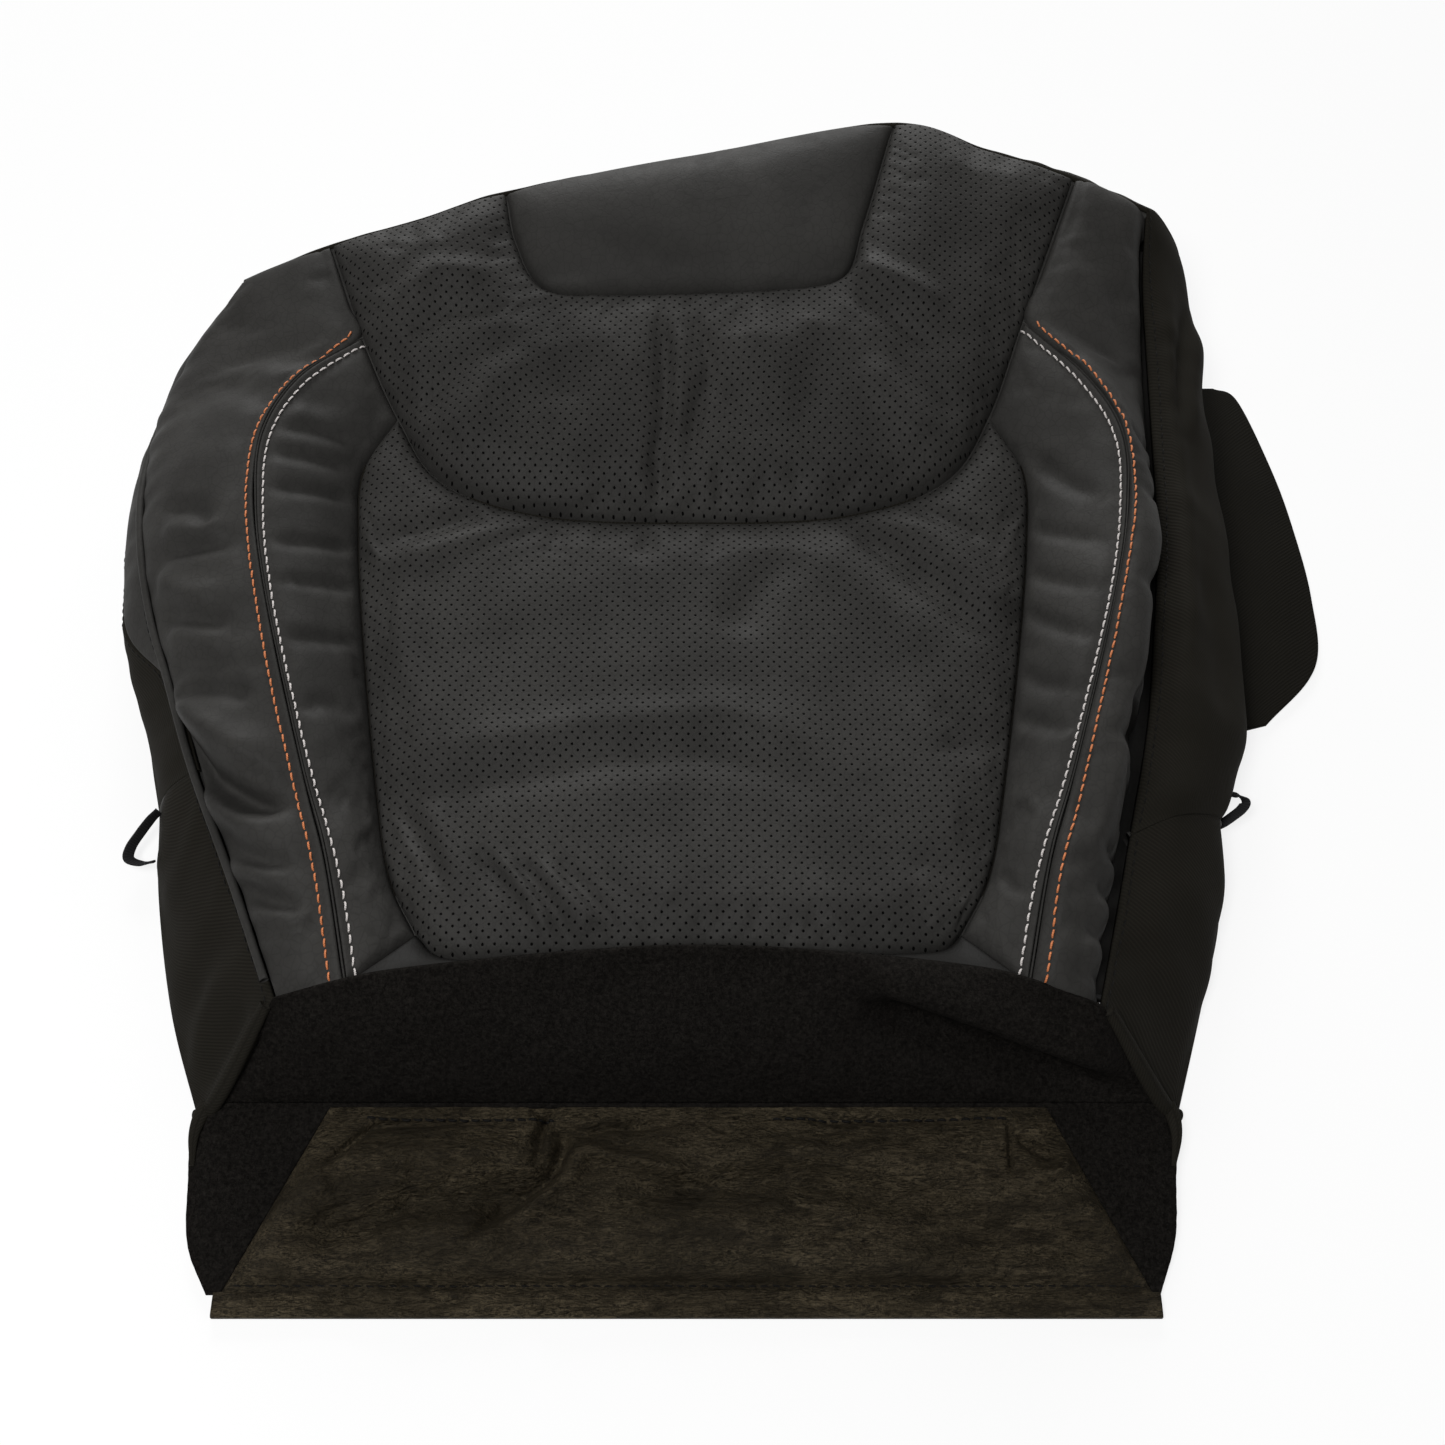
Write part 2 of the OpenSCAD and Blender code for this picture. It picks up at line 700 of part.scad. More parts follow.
module tail_wing_left() {
    color(FELT) tail_cloth(edge_left, flap_left, 0.4, [], 3);
}

module tail_wing_right() {
    color(FELT) tail_cloth(flap_right, edge_right, 0.4, [], 3);
}

// Flat tube of folded cloth; w and t are its outside sizes
module flat_tube(w, t, wall) {
    difference() {
        translate([0, -t / 2]) square([w, t]);
        translate([wall, -t / 2 + wall]) square([w - 2 * wall, t - 2 * wall]);
    }
}

module tail_hem() {
    color(TAIL)
        translate([-hem_hw, hem_y, hem_t / 2])
            rotate([90, 0, 90])
                linear_extrude(2 * hem_hw) flat_tube(hem_w, hem_t, sleeve_t);
}

module hem_strip() {
    side = sleeve_t + seam_gap;
    color([0.75, 0.75, 0.72])
        translate([-hem_hw + hem_w, hem_y + side, side])
            cube([2 * (hem_hw - hem_w), hem_w - 2 * side, hem_t - 2 * side]);
}

// ---- Side flap and pull loops ----

flap_x = crest_front_hw + 52.3;
flap_y = insert_len + 12;

// Rolled edge of the flap, on the axis that it folds about
module side_flap_binding() {
    color(SKIRT)
        translate([flap_x, flap_y - flap_len / 2 + 4, flap_t / 2])
            rotate([-90, 0, 0])
                cylinder(r = flap_t / 2, h = flap_len - 8, $fn = 24);
}

module side_flap_right() {
    root = flap_x + flap_t / 2 + seam_gap / 2;
    tip = [
        [root + flap_reach * 0.3, flap_y - flap_len / 2 + 4, flap_t],
        [root + flap_reach * 0.9, flap_y - flap_len * 0.33, flap_t],
        [root + flap_reach, flap_y - flap_len * 0.14, flap_t],
        [root + flap_reach * 0.95, flap_y + flap_len * 0.06, flap_t],
        [root + flap_reach * 0.84, flap_y + flap_len * 0.24, flap_t],
        [root + flap_reach * 0.6, flap_y + flap_len * 0.46, flap_t],
        [root + flap_reach * 0.35, flap_y + flap_len / 2, flap_t]
    ];
    rear = [root, flap_y - flap_len / 2, flap_t];
    front = [root, flap_y + flap_len / 2, flap_t];
    base = between(
        straight(rear, tip[0]), straight(front, tip[6]), straight(rear, front), whole(tip)
    );
    color(LEATHER)
        sheet(swollen(base, 0.3, [], cloth_roll), 5, 16, flap_t, bevel = 0.2);
}

loop_d = 2.6;

// Round loop of narrow tape between two roots on a skirt; reach is how far it stands out
module pull_loop(a, b, reach) {
    out = cross(b - a, [0, 0, 1]) / norm(cross(b - a, [0, 0, 1]));
    // Shares of the way from a to b, and of the reach
    bow = [[0, 0], [0.04, 0.45], [0.22, 0.9], [0.5, 1], [0.78, 0.9], [0.96, 0.45], [1, 0]];
    path = [for (q = bow) mix(a, b, q[0]) + out * reach * q[1]];
    color(SKIRT) swept([for (k = [0:14]) on(whole(path), k / 14)], circle_section(loop_d / 2, 8));
}

module pull_loop_left() {
    root = joint_left[2];
    pull_loop(root + [3.7, -4, 12], root + [3.7, -26.5, 7], 11.5);
}

module pull_loop_right() {
    root = joint_right[3];
    pull_loop(root + [1.7, 0.5, 8], root + [13.1, 25.5, 12], 12);
}

// ---- Listing sleeves and wires ----

sleeve_hole_r = wire_d / 2 + run_gap;
sleeve_r = sleeve_hole_r + sleeve_t;

// Point below a seam, and the path below it between two shares of its length
function below(seam, u) = on(seam, u) - [0, 0, sleeve_drop];
function path_below(seam, first, last, n) = [for (k = [0:n]) below(seam, mix(first, last, k / n))];

// Sleeve of folded fabric: a round tube with a web that runs up into the seam
module sleeve(seam, first, last, n) {
    sides = 10;
    web = [0, sleeve_drop - 0.7];
    round = circle_section(sleeve_r, sides);
    outline = [for (k = [0:sides - 1]) k == 0 ? web : round[k]];
    color(SKIRT)
        swept_tube(path_below(seam, first, last, n), outline, circle_section(sleeve_hole_r, sides));
}

// Wire in a sleeve; its ends stand out by a small share of the seam
module wire(seam, first, last, n) {
    past = 0.02;
    path = concat(
        [below(seam, first - past)], path_below(seam, first, last, n), [below(seam, last + past)]
    );
    color([0.6, 0.6, 0.62]) swept(path, circle_section(wire_d / 2, 8));
}

module sleeve_left() { sleeve(whole(insert_side(-1)), 0.12, 0.86, 14); }
module wire_left() { wire(whole(insert_side(-1)), 0.12, 0.86, 14); }
module sleeve_right() { sleeve(whole(insert_side(1)), 0.12, 0.86, 14); }
module wire_right() { wire(whole(insert_side(1)), 0.12, 0.86, 14); }
module sleeve_thigh() { sleeve([thigh_seam, 3, 7], 0.08, 0.92, 12); }
module wire_thigh() { wire([thigh_seam, 3, 7], 0.08, 0.92, 12); }
module sleeve_rear() { sleeve([insert_rear, 1, 5], 0.06, 0.94, 10); }
module wire_rear() { wire([insert_rear, 1, 5], 0.06, 0.94, 10); }

// ---- Front retainer ----

// Hooked plastic strip on the inside of the front skirt's foot
module front_retainer() {
    wall = 2;
    lip_h = 8;
    lead = 1;
    profile = [
        [0, 0], [0, retainer_h], [-wall, retainer_h], [-wall, wall],
        [-wall - retainer_gap, wall], [-wall - retainer_gap, lip_h],
        [-wall - retainer_gap - wall - lead, lip_h], [-wall - retainer_gap - wall, 0]
    ];
    color([0.12, 0.12, 0.13])
        translate([0, front_y, 0])
            rotate([0, 0, atan(front_slope)])
                translate([-retainer_len / 2, -fabric_t - run_gap, 0])
                    rotate([90, 0, 90])
                        linear_extrude(retainer_len) polygon(profile);
}

module placed() {
    translate([-middle.x, -middle.y, 0]) children();
}

placed() seat_insert();
placed() thigh_panel();
placed() nose_panel();
placed() inner_bolster_left();
placed() inner_bolster_right();
placed() outer_bolster_left();
placed() outer_bolster_right();
placed() rear_bridge();
placed() side_panel_left();
placed() piping_left();
placed() front_skirt();
placed() skirt_left_upper();
placed() skirt_left_lower();
placed() skirt_right_upper();
placed() skirt_right_lower();
placed() rear_felt();
placed() tail_binding();
placed() tail_flap();
placed() tail_wing_left();
placed() tail_wing_right();
placed() tail_hem();
placed() hem_strip();
placed() side_flap_binding();
placed() side_flap_right();
placed() pull_loop_left();
placed() pull_loop_right();
placed() sleeve_left();
placed() sleeve_right();
placed() sleeve_thigh();
placed() sleeve_rear();
placed() wire_left();
placed() wire_right();
placed() wire_thigh();
placed() wire_rear();
placed() front_retainer();
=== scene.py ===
"""Trim cover of a car seat cushion: leather panels, skirts, rear felt and tail round their frame.

Every surface is stretched between the cover's own seam lines. They are given in millimetres as
(across, forward, up), counted from the insert's rear seam on the centre line and the floor.
"""

import math

import bpy
import numpy as np
from bpy.props import FloatProperty, FloatVectorProperty, IntProperty, PointerProperty
from bpy.types import Operator, Panel, PropertyGroup
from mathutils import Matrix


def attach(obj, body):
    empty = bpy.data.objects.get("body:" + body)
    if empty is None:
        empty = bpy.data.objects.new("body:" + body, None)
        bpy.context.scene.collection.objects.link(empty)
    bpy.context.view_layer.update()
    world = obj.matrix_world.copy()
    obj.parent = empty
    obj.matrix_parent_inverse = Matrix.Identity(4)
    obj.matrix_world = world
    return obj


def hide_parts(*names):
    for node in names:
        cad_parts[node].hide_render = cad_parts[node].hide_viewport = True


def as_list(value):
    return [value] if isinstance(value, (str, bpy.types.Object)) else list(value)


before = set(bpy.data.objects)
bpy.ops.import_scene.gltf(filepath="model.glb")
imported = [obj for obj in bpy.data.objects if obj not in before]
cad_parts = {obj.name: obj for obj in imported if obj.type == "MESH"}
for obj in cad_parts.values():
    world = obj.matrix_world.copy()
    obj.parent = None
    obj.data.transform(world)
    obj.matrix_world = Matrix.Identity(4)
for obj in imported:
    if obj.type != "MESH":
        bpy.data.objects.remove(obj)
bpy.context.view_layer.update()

bl_info = {
    "name": "Seat Cushion Cover",
    "version": (1, 0, 0),
    "blender": (4, 5, 0),
    "location": "3D View > Sidebar > Cover",
    "description": "Builds the leather, cloth and thread of a seat cushion's trim cover",
    "category": "Add Mesh",
}

MM = 0.001
# The middle of the cover's outline, where the frame has its origin
MIDDLE = np.array([14.3, 154.0, 0.0])

# ---- Seam lines ----

INSERT_LEFT = [
    (-112, 8.8, 45.1), (-125.5, 35.2, 43.9), (-134.5, 72.6, 42), (-148, 149.6, 42),
    (-156.1, 209, 43.9), (-157, 246.4, 47), (-142, 274, 53),
]
INSERT_RIGHT = [(-x, y, z) for x, y, z in INSERT_LEFT]
CREST_LEFT = [
    (-136, -17.6, 57), (-148.8, 37.4, 65), (-162.9, 79.2, 67.4), (-187.8, 162.8, 71.4),
    (-198.1, 211.2, 73), (-200, 250.8, 73), (-187.2, 286, 70.6), (-161, 314, 66),
]
CREST_RIGHT = [(-x, y, z) for x, y, z in CREST_LEFT[:-1]] + [(161, 324, 66)]
FRONT_EDGE = [
    (-223, 351, 66), (-180, 366, 75), (-135, 380, 79), (-94, 393, 84), (0, 414, 88),
    (101, 435, 90), (148, 420, 86), (191, 405, 82), (228, 391, 74),
]
THIGH_SEAM = [
    (-180, 366, 75), (-161, 314, 66), (-142, 274, 53), (-119, 240, 47), (-71, 223, 43), (0, 220, 42),
    (71, 223, 43), (119, 240, 47), (142, 274, 53), (161, 324, 66), (191, 405, 82),
]
NOSE_SEAM = [
    (-94, 393, 84), (-88, 364, 79), (-73, 338, 74), (-38, 335, 73),
    (38, 338, 73), (73, 345, 75), (84, 374, 81), (101, 435, 90),
]
INSERT_REAR = [
    (-112, 8.8, 45.1), (-98, -2, 46), (-56, -4, 49), (0, 0, 51),
    (56, -2, 49), (100, 1, 46), (112, 8.8, 45.1),
]
RIDGE = [
    (-165, -23, 50), (-136, -17.6, 57), (-112, -14, 59), (-56, -9, 62), (0, -6, 63),
    (56, -8, 62), (112, -13, 59), (136, -17.6, 57), (165, -26, 50),
]
OUTER_LEFT = [
    (-223, 351, 66), (-244, 316, 62), (-256, 284, 56), (-259, 256, 53), (-255, 208, 50),
    (-244, 164, 49), (-231, 130, 48), (-213, 84, 48), (-188, 30, 49), (-165, -23, 50),
]
# Where the leather turns down over the front part of the side, as far as its edge line
OUTER_SHOWN = OUTER_LEFT[:1] + [(-247, 321, 48), (-259, 288, 43), (-261, 256, 46)] + OUTER_LEFT[4:]
VALLEY = [
    (228, 391, 74), (225, 356, 60), (224, 316, 51), (222, 268, 46), (218, 210, 44),
    (211, 162, 43), (202, 110, 42), (188, 56, 42), (176, 12, 45), (165, -26, 50),
]
SIDE_LOW = [
    (-233, 132, 43), (-258, 160, 35.8), (-268, 200, 28), (-270, 230, 28),
    (-266, 264, 29), (-258, 314, 36), (-235, 353, 36),
]
SKIRT_TOP_LEFT = [OUTER_LEFT[7]] + SIDE_LOW
CORNER_LEFT = [(-223, 351, 66), (-235, 353, 36), (-235, 359, 1)]
CORNER_RIGHT = [(228, 391, 74), (236, 395, 65), (249, 388, 46), (254, 381, 22), (253, 377, 1)]
REAR_LEFT = [(-165, -23, 50), (-191, -51.5, 12), (-203, -55, 1)]
REAR_RIGHT = [(165, -26, 50), (191, -51.5, 12), (202, -55, 1)]
JOINT_LEFT = [(-213, 84, 48), (-229.8, 84, 28), (-241, 86, 1)]
JOINT_RIGHT = [(188, 56, 42), (210.4, 66, 40), (232, 74, 22), (233, 76, 1)]
FOOT_LEFT_UPPER = [
    (-241, 86, 1), (-250, 118, 1), (-260, 164, 1), (-264, 216, 1),
    (-262, 266, 1), (-251, 312, 1), (-235, 359, 1),
]
FOOT_LEFT_LOWER = [(-203, -55, 1), (-221, -9, 1), (-235, 45, 1), (-241, 86, 1)]
FOOT_RIGHT_UPPER = [
    (253, 377, 1), (251.4, 325, 1), (251.4, 270, 1), (251.4, 220, 1), (251.4, 170, 1),
    (250, 120, 1), (233, 76, 1),
]
FOOT_RIGHT_LOWER = [(233, 76, 1), (232, 36, 1), (218, -8, 1), (202, -55, 1)]
FOOT_FRONT = [
    (-235, 359, 1), (-177, 369, 1), (-135, 384.8, 1), (-45, 404.3, 1),
    (45, 423.7, 1), (135, 443.2, 1), (191, 421, 1), (253, 377, 1),
]
FLAP_LEFT = [(-183.5, -126.4, 3.2), (-146, -52, 11.3)]
FLAP_RIGHT = [(183.5, -126.4, 3.2), (146, -52, 11.3)]
WING_LEFT = [
    (-189, -126.4, 3.2), (-198.5, -107, 5.9), (-201.5, -80, 8.4), (-203, -66, 8), (-203.5, -55, 6),
]
WING_RIGHT = [(186, -126.4, 3.2), (194, -105, 5.9), (197, -80, 8.4), (200, -66, 8), (202.5, -55, 6)]
LIP_END_LEFT = [(-197.5, -51, 9.0), (-200, -58, 9.6), (-201, -66, 9.8), (-200, -77, 9.2)]
LIP_END_RIGHT = [(196.5, -51, 9.0), (198.5, -58, 9.6), (198.5, -66, 9.8), (196, -77, 9.2)]
# Forward and up: the line that the tail folds about, and the middle of its hem
FOLD_LINE, HEM_LINE = (-52, 10.5), (-130, 2.0)
TAIL_CROWN = 9.0
SIDE_FLAP_THICKNESS = 2.2
SIDE_FLAP_ROOT = [(253.0, 129, 2.4), (253.0, 335, 2.4)]
SIDE_FLAP_TIP = [
    (267.5, 133, 2.4), (295.1, 164, 2.4), (299.7, 203.2, 2.4), (297.4, 244.4, 2.4),
    (292.3, 281.4, 2.4), (281.3, 326.8, 2.4), (269.8, 335, 2.4),
]

# Ways in which the panels on a seam turn into it: the top seams, and those round the cover's edge
UP = (0, 0, 1)
FRONT_WAY, REAR_WAY = (0, 0.6, 0.8), (0, -0.45, 0.9)
LEFT_WAY, RIGHT_WAY = (-0.75, 0, 0.66), (0.35, 0, 0.94)
LEFT_OUT, RIGHT_OUT = (-1, 0, 0.2), (1, 0, 0.2)

# ---- Folds: (way, width, height); a furrow has a height below 0 ----

INSERT_FOLDS = [
    ([(69, 219), (87, 202), (105, 182), (122, 163), (143, 142)], 7, -5.0),
    ([(88, 222), (112, 204), (132, 178), (146, 158)], 10, 4.5),
    ([(50, 206), (84, 172), (112, 138)], 11, 2.4),
    ([(96, 228), (120, 214), (140, 202)], 5, -2.4),
    ([(-139, 206), (-118, 213), (-96, 224)], 6, -3.4),
    ([(-138, 190), (-112, 200), (-86, 212)], 8, 3.0),
    ([(14, 150), (30, 175), (54, 206)], 11, -3.0),
    ([(-133, 84), (-74, 98), (-22, 106), (20, 108), (70, 84)], 11, 3.2),
    ([(-128, 66), (-70, 80), (-20, 88), (20, 88), (64, 66)], 10, -2.6),
    ([(-128, 74), (-114, 50), (-98, 20)], 5, -2.8),
    ([(-116, 70), (-102, 46), (-88, 18)], 6, 2.0),
    ([(-90, 44), (-76, 26), (-60, 2)], 3.6, -3.4),
    ([(-74, 42), (-60, 22), (-46, 0)], 3.6, -3.2),
    ([(-56, 40), (-40, 20), (-26, 1)], 3.8, -3.0),
    ([(-36, 34), (-20, 16), (-6, 2)], 5, -2.0),
    ([(-82, 42), (-66, 22), (-53, 4)], 4, 2.4),
    ([(-64, 38), (-48, 18), (-36, 4)], 4, 2.4),
    ([(104, 118), (124, 104), (138, 92)], 8, -2.4),
    ([(90, 40), (108, 30), (120, 22)], 7, -2.0),
    ([(-20, 216), (-22, 196)], 5, -2.2),
    ([(-60, 214), (-66, 194)], 6, -2.0),
    ([(10, 214), (12, 200)], 5, -1.4),
]
THIGH_FOLDS = [
    ([(-16, 326), (-14, 300), (-14, 270), (-16, 244), (-15, 224)], 5.0, -3.6),
    ([(-2, 330), (4, 306), (8, 291), (3, 275), (0, 256), (1, 232)], 4.6, -3.4),
    ([(-7, 318), (-6, 290), (-7, 250)], 4.0, 1.8),
    ([(12, 294), (24, 272), (38, 256)], 8, -1.8),
    ([(-26, 318), (-30, 276), (-26, 232)], 10, 2.2),
    ([(26, 326), (38, 296), (44, 262)], 10, 2.2),
    ([(-144, 326), (-124, 342), (-96, 342)], 7, 3.6),
    ([(-140, 306), (-116, 322), (-84, 320)], 6, -2.8),
    ([(-84, 308), (-110, 292), (-130, 268)], 8, -2.6),
    ([(-72, 300), (-98, 278), (-116, 252)], 10, 3.0),
    ([(76, 350), (96, 340), (124, 322)], 7, 3.8),
    ([(74, 334), (96, 316), (120, 300)], 5, -3.2),
    ([(92, 308), (110, 286), (128, 266)], 8, -2.6),
    ([(80, 300), (98, 274), (112, 254)], 10, 3.0),
    ([(-62, 322), (-60, 268)], 10, -2.0),
    ([(60, 318), (56, 264)], 10, -2.0),
    ([(-16, 248), (-16, 226)], 4, -1.6),
    ([(12, 246), (14, 226)], 4, -1.8),
]
INNER_LEFT_FOLDS = [
    ([(-196, 252), (-176, 257), (-160, 258)], 4, -2.2),
    ([(-196, 237), (-178, 241), (-161, 244)], 4, -2.4),
    ([(-195, 217), (-176, 223), (-160, 228)], 3.5, -2.6),
    ([(-191, 188), (-173, 193), (-157, 201)], 3.5, -2.2),
    ([(-184, 167), (-167, 173), (-153, 180)], 3.5, -2.1),
    ([(-178, 138), (-163, 143), (-150, 149)], 4, -1.9),
    ([(-170, 104), (-152, 112)], 5, -1.3),
]
INNER_RIGHT_FOLDS = [
    ([(160, 254), (173, 234), (188, 214)], 4, -2.5),
    ([(156, 216), (170, 202), (187, 190)], 3.5, -2.4),
    ([(154, 191), (166, 177), (182, 163)], 3.5, -2.4),
    ([(150, 170), (162, 154), (175, 139)], 3.5, -2.2),
    ([(146, 138), (155, 124), (168, 112)], 4, -2.2),
    ([(142, 115), (153, 102), (164, 92)], 4, -1.8),
    ([(128, 35), (134, 26), (143, 20)], 3.5, -1.5),
]
OUTER_LEFT_FOLDS = [
    ([(-240, 213), (-223, 208), (-212, 195)], 4.5, -4.0),
    ([(-240, 200), (-222, 196), (-204, 196)], 6, 3.0),
    ([(-236, 188), (-218, 187), (-200, 186)], 4.5, -3.2),
    ([(-240, 178), (-222, 165), (-202, 160)], 6, 3.6),
    ([(-236, 160), (-216, 152), (-196, 143)], 4.5, -3.6),
    ([(-234, 146), (-214, 142), (-196, 134)], 6, 3.0),
    ([(-228, 134), (-212, 130), (-192, 124)], 4.5, -2.6),
    ([(-224, 112), (-212, 118), (-196, 114), (-184, 106)], 4.5, -5.0),
    ([(-230, 126), (-218, 110), (-203, 99), (-188, 88), (-170, 75)], 7, 8.5),
    ([(-240, 134), (-228, 113), (-215, 93), (-204, 79), (-190, 68), (-174, 59), (-160, 62)], 5, -12.0),
    ([(-212, 78), (-198, 66), (-182, 54), (-164, 44)], 6, 4.5),
    ([(-200, 56), (-188, 44), (-174, 36), (-156, 31)], 4.5, -4.8),
    ([(-194, 40), (-178, 32), (-160, 24)], 5, 3.4),
    ([(-188, 30), (-170, 20), (-152, 12)], 4, -4.0),
    ([(-180, 16), (-164, 10), (-150, 8)], 4, 2.6),
    ([(-174, 8), (-160, 6), (-144, 6)], 3.5, -2.6),
    ([(-224, 286), (-208, 276), (-194, 262)], 9, -2.6),
]
OUTER_RIGHT_FOLDS = [
    ([(222, 330), (219.5, 264), (214.5, 212), (207, 163), (198, 110), (184, 58), (172, 6)], 6.0, -9.0),
    ([(206, 218), (202, 190), (194, 157), (184, 112), (170, 60), (157, 12)], 5.0, 5.0),
    ([(196, 122), (187, 100), (180, 84)], 6.0, -6.0),
    ([(206, 252), (222, 246)], 3.5, -2.2),
    ([(204, 236), (222, 230)], 3.5, -2.4),
    ([(202, 220), (218, 212)], 3.5, -2.2),
    ([(194, 172), (212, 160)], 6, -2.4),
    ([(186, 118), (206, 98)], 7, -4.5),
    ([(180, 96), (198, 78)], 6, 2.4),
    ([(168, 44), (186, 39)], 3.4, -3.4),
    ([(166, 35), (182, 30)], 2.8, 2.0),
    ([(163, 26), (181, 21)], 3.2, -3.8),
    ([(160, 17), (177, 12)], 2.8, 2.0),
    ([(157, 8), (175, 3)], 3.2, -3.8),
    ([(155, -1), (171, -5)], 2.8, 1.8),
    ([(152, -9), (168, -13)], 3.0, -3.2),
    ([(204, 352), (212, 320), (214, 284)], 9, -3.4),
]

FELT_FOLDS = [
    ([(64, -22), (84, -27), (104, -32), (126, -38), (152, -44), (182, -49)], 5.6, -17.0),
    ([(66, -12), (92, -16), (124, -24), (156, -33), (184, -40)], 6.5, 13.0),
    ([(70, -12), (80, -20), (88, -26)], 2.2, -1.6),
    ([(-70, -22), (-20, -14), (30, -12), (60, -16)], 7, -2.4),
    ([(-160, -30), (-120, -26), (-80, -24)], 8, 2.4),
    ([(-172, -30), (-186, -46)], 4, -5.0),
    ([(-60, -34), (0, -32), (60, -36)], 9, 2.2),
]
LIP_FOLDS = [
    ([(-167, -24), (-178, -34), (-190, -48), (-198, -55)], 5, 4.5),
    ([(-176, -16), (-188, -30), (-200, -44)], 6, -2.5),
    ([(-186, 20), (-198, 4), (-208, -14)], 8, -1.5),
    ([(-190, 0), (-200, -20), (-206, -40)], 6, 1.8),
]
RIGHT_SKIRT_FOLDS = [
    ([(246, 358), (241, 326), (236, 296), (233, 266)], 3.2, -3.4),
    ([(250, 352), (246, 322), (241, 292), (238, 262)], 5, 3.4),
    ([(237, 372), (232, 330), (230, 280), (229, 220), (224, 160), (212, 108)], 5.0, 3.6),
    ([(234, 200), (238, 150), (234, 110)], 7, -2.6),
]
TAIL_FOLDS = [
    ([(-153, -79), (-142, -74), (-133, -66), (-125, -61), (-94, -60), (-60, -59)], 1.7, -5.3),
    ([(46, -59), (73, -59), (128, -58)], 1.6, -4.5),
    ([(131, -58), (129, -82)], 1.2, -4.5),
    ([(-65, -52), (-58, -58)], 1.6, -5.5),
    ([(-54, -51), (-58, -58), (-64, -71)], 1.6, -6.1),
    ([(-58, -58), (-61, -76)], 1.5, -5.3),
    ([(-57, -57), (-51, -66), (-51, -73), (-55, -82), (-67, -90), (-79, -99), (-87, -109)], 3.0, -9.5),
    ([(-58, -68), (-60, -80), (-72, -88), (-84, -97)], 6, -4.7),
    ([(-44, -68), (-45, -79), (-58, -91), (-72, -103)], 5, 6.4),
    ([(-56, -84), (-75, -88), (-92, -91), (-116, -94), (-141, -103), (-154, -109)], 6.5, -9.5),
    ([(-62, -73), (-93, -73), (-126, -75), (-149, -84)], 6, 6.0),
    ([(-124, -112), (-96, -106), (-66, -110)], 7, 6.3),
    ([(-54, -60), (-43, -64), (-33, -62), (2, -60)], 2.2, -6.9),
    ([(-46, -69), (-26, -75), (8, -82)], 3.2, 6.0),
    ([(-34, -92), (-11, -87), (5, -86), (44, -82), (77, -89), (110, -95), (122, -112)], 6.5, -8.4),
    ([(6, -73), (50, -73), (112, -76)], 7, 5.0),
    ([(-74, -110), (-35, -104), (13, -102), (60, -108)], 8, 6.3),
    ([(132, -64), (139, -70), (149, -76)], 2.2, -6.1),
    ([(134, -79), (146, -81), (156, -73)], 2.6, 5.5),
    ([(78, -104), (124, -105), (170, -112)], 8, -5.8),
    ([(-184, -122.6), (-60, -122.6), (60, -122.6), (184, -122.6)], 2.4, -7.8),
    ([(-168, -108), (-150, -90), (-140, -84)], 6, 4.7),
]
SIDE_FLAP_FOLDS = [
    ([(266, 134), (268, 200), (268, 260), (266, 330)], 3.0, -1.4),
    ([(262, 134), (262, 330)], 4.0, 1.8),
    ([(276, 146), (289, 166), (294, 203), (292, 244), (287, 281), (277, 322)], 1.4, -0.8),
    ([(280, 180), (284, 240), (278, 300)], 8.0, 1.4),
]

# ---- Stage ----

WHITE = (1, 1, 1, 1)
# Name, place in metres, width in metres and power in watts; all point at the cover's middle
LAMPS = [
    ("window_lamp", (-0.4, 3.0, 1.2), 1.2, 75.0),
    ("door_lamp", (0.8, 3.0, 0.9), 1.0, 24.0),
    ("room_lamp", (-0.35, -0.5, 1.3), 0.5, 16.0),
]
EYE, EYE_AIM = (-0.0003, -0.437, 0.72416), (-0.0003, -0.042, 0.040)
# The lens, and the frame that it was measured in, in pixels
FOCAL_PIXELS, FRAME_PIXELS = 1790, 1445


# ---- Curves and nets of points ----


def mix(a, b, t):
    """The point at share t of the way from a to b."""
    return a + (b - a) * t


def curve_at(points, t):
    """Points of the smooth curve through points; t counts them from 0."""
    points = np.asarray(points, float)
    t = np.asarray(t, float)
    shape = t.shape
    t = t.ravel()
    last = len(points) - 1
    i = np.clip(np.floor(t).astype(int), 0, last - 1)
    f = (t - i)[:, None]
    b, c = points[i], points[i + 1]
    a = np.where((i > 0)[:, None], points[np.maximum(i - 1, 0)], 2 * b - c)
    d = np.where((i + 2 <= last)[:, None], points[np.minimum(i + 2, last)], 2 * c - b)
    out = b + (f * (c - a) + f**2 * (2 * a - 5 * b + 4 * c - d) + f**3 * (3 * (b - c) + d - a)) / 2
    return out.reshape(shape + (points.shape[1],))


class Seam:
    """The stretch of a smooth curve between two of its points."""

    def __init__(self, points, first=0, last=None):
        self.points = np.asarray(points, float)
        self.first = first
        self.last = len(points) - 1 if last is None else last

    def on(self, u):
        """Points at shares u of the stretch."""
        return curve_at(self.points, mix(self.first, self.last, np.asarray(u, float)))


def chain(first, second):
    """One seam along two that meet."""
    return Seam(np.vstack([first.on(np.arange(8) / 8), second.on(np.arange(4) / 3)]))


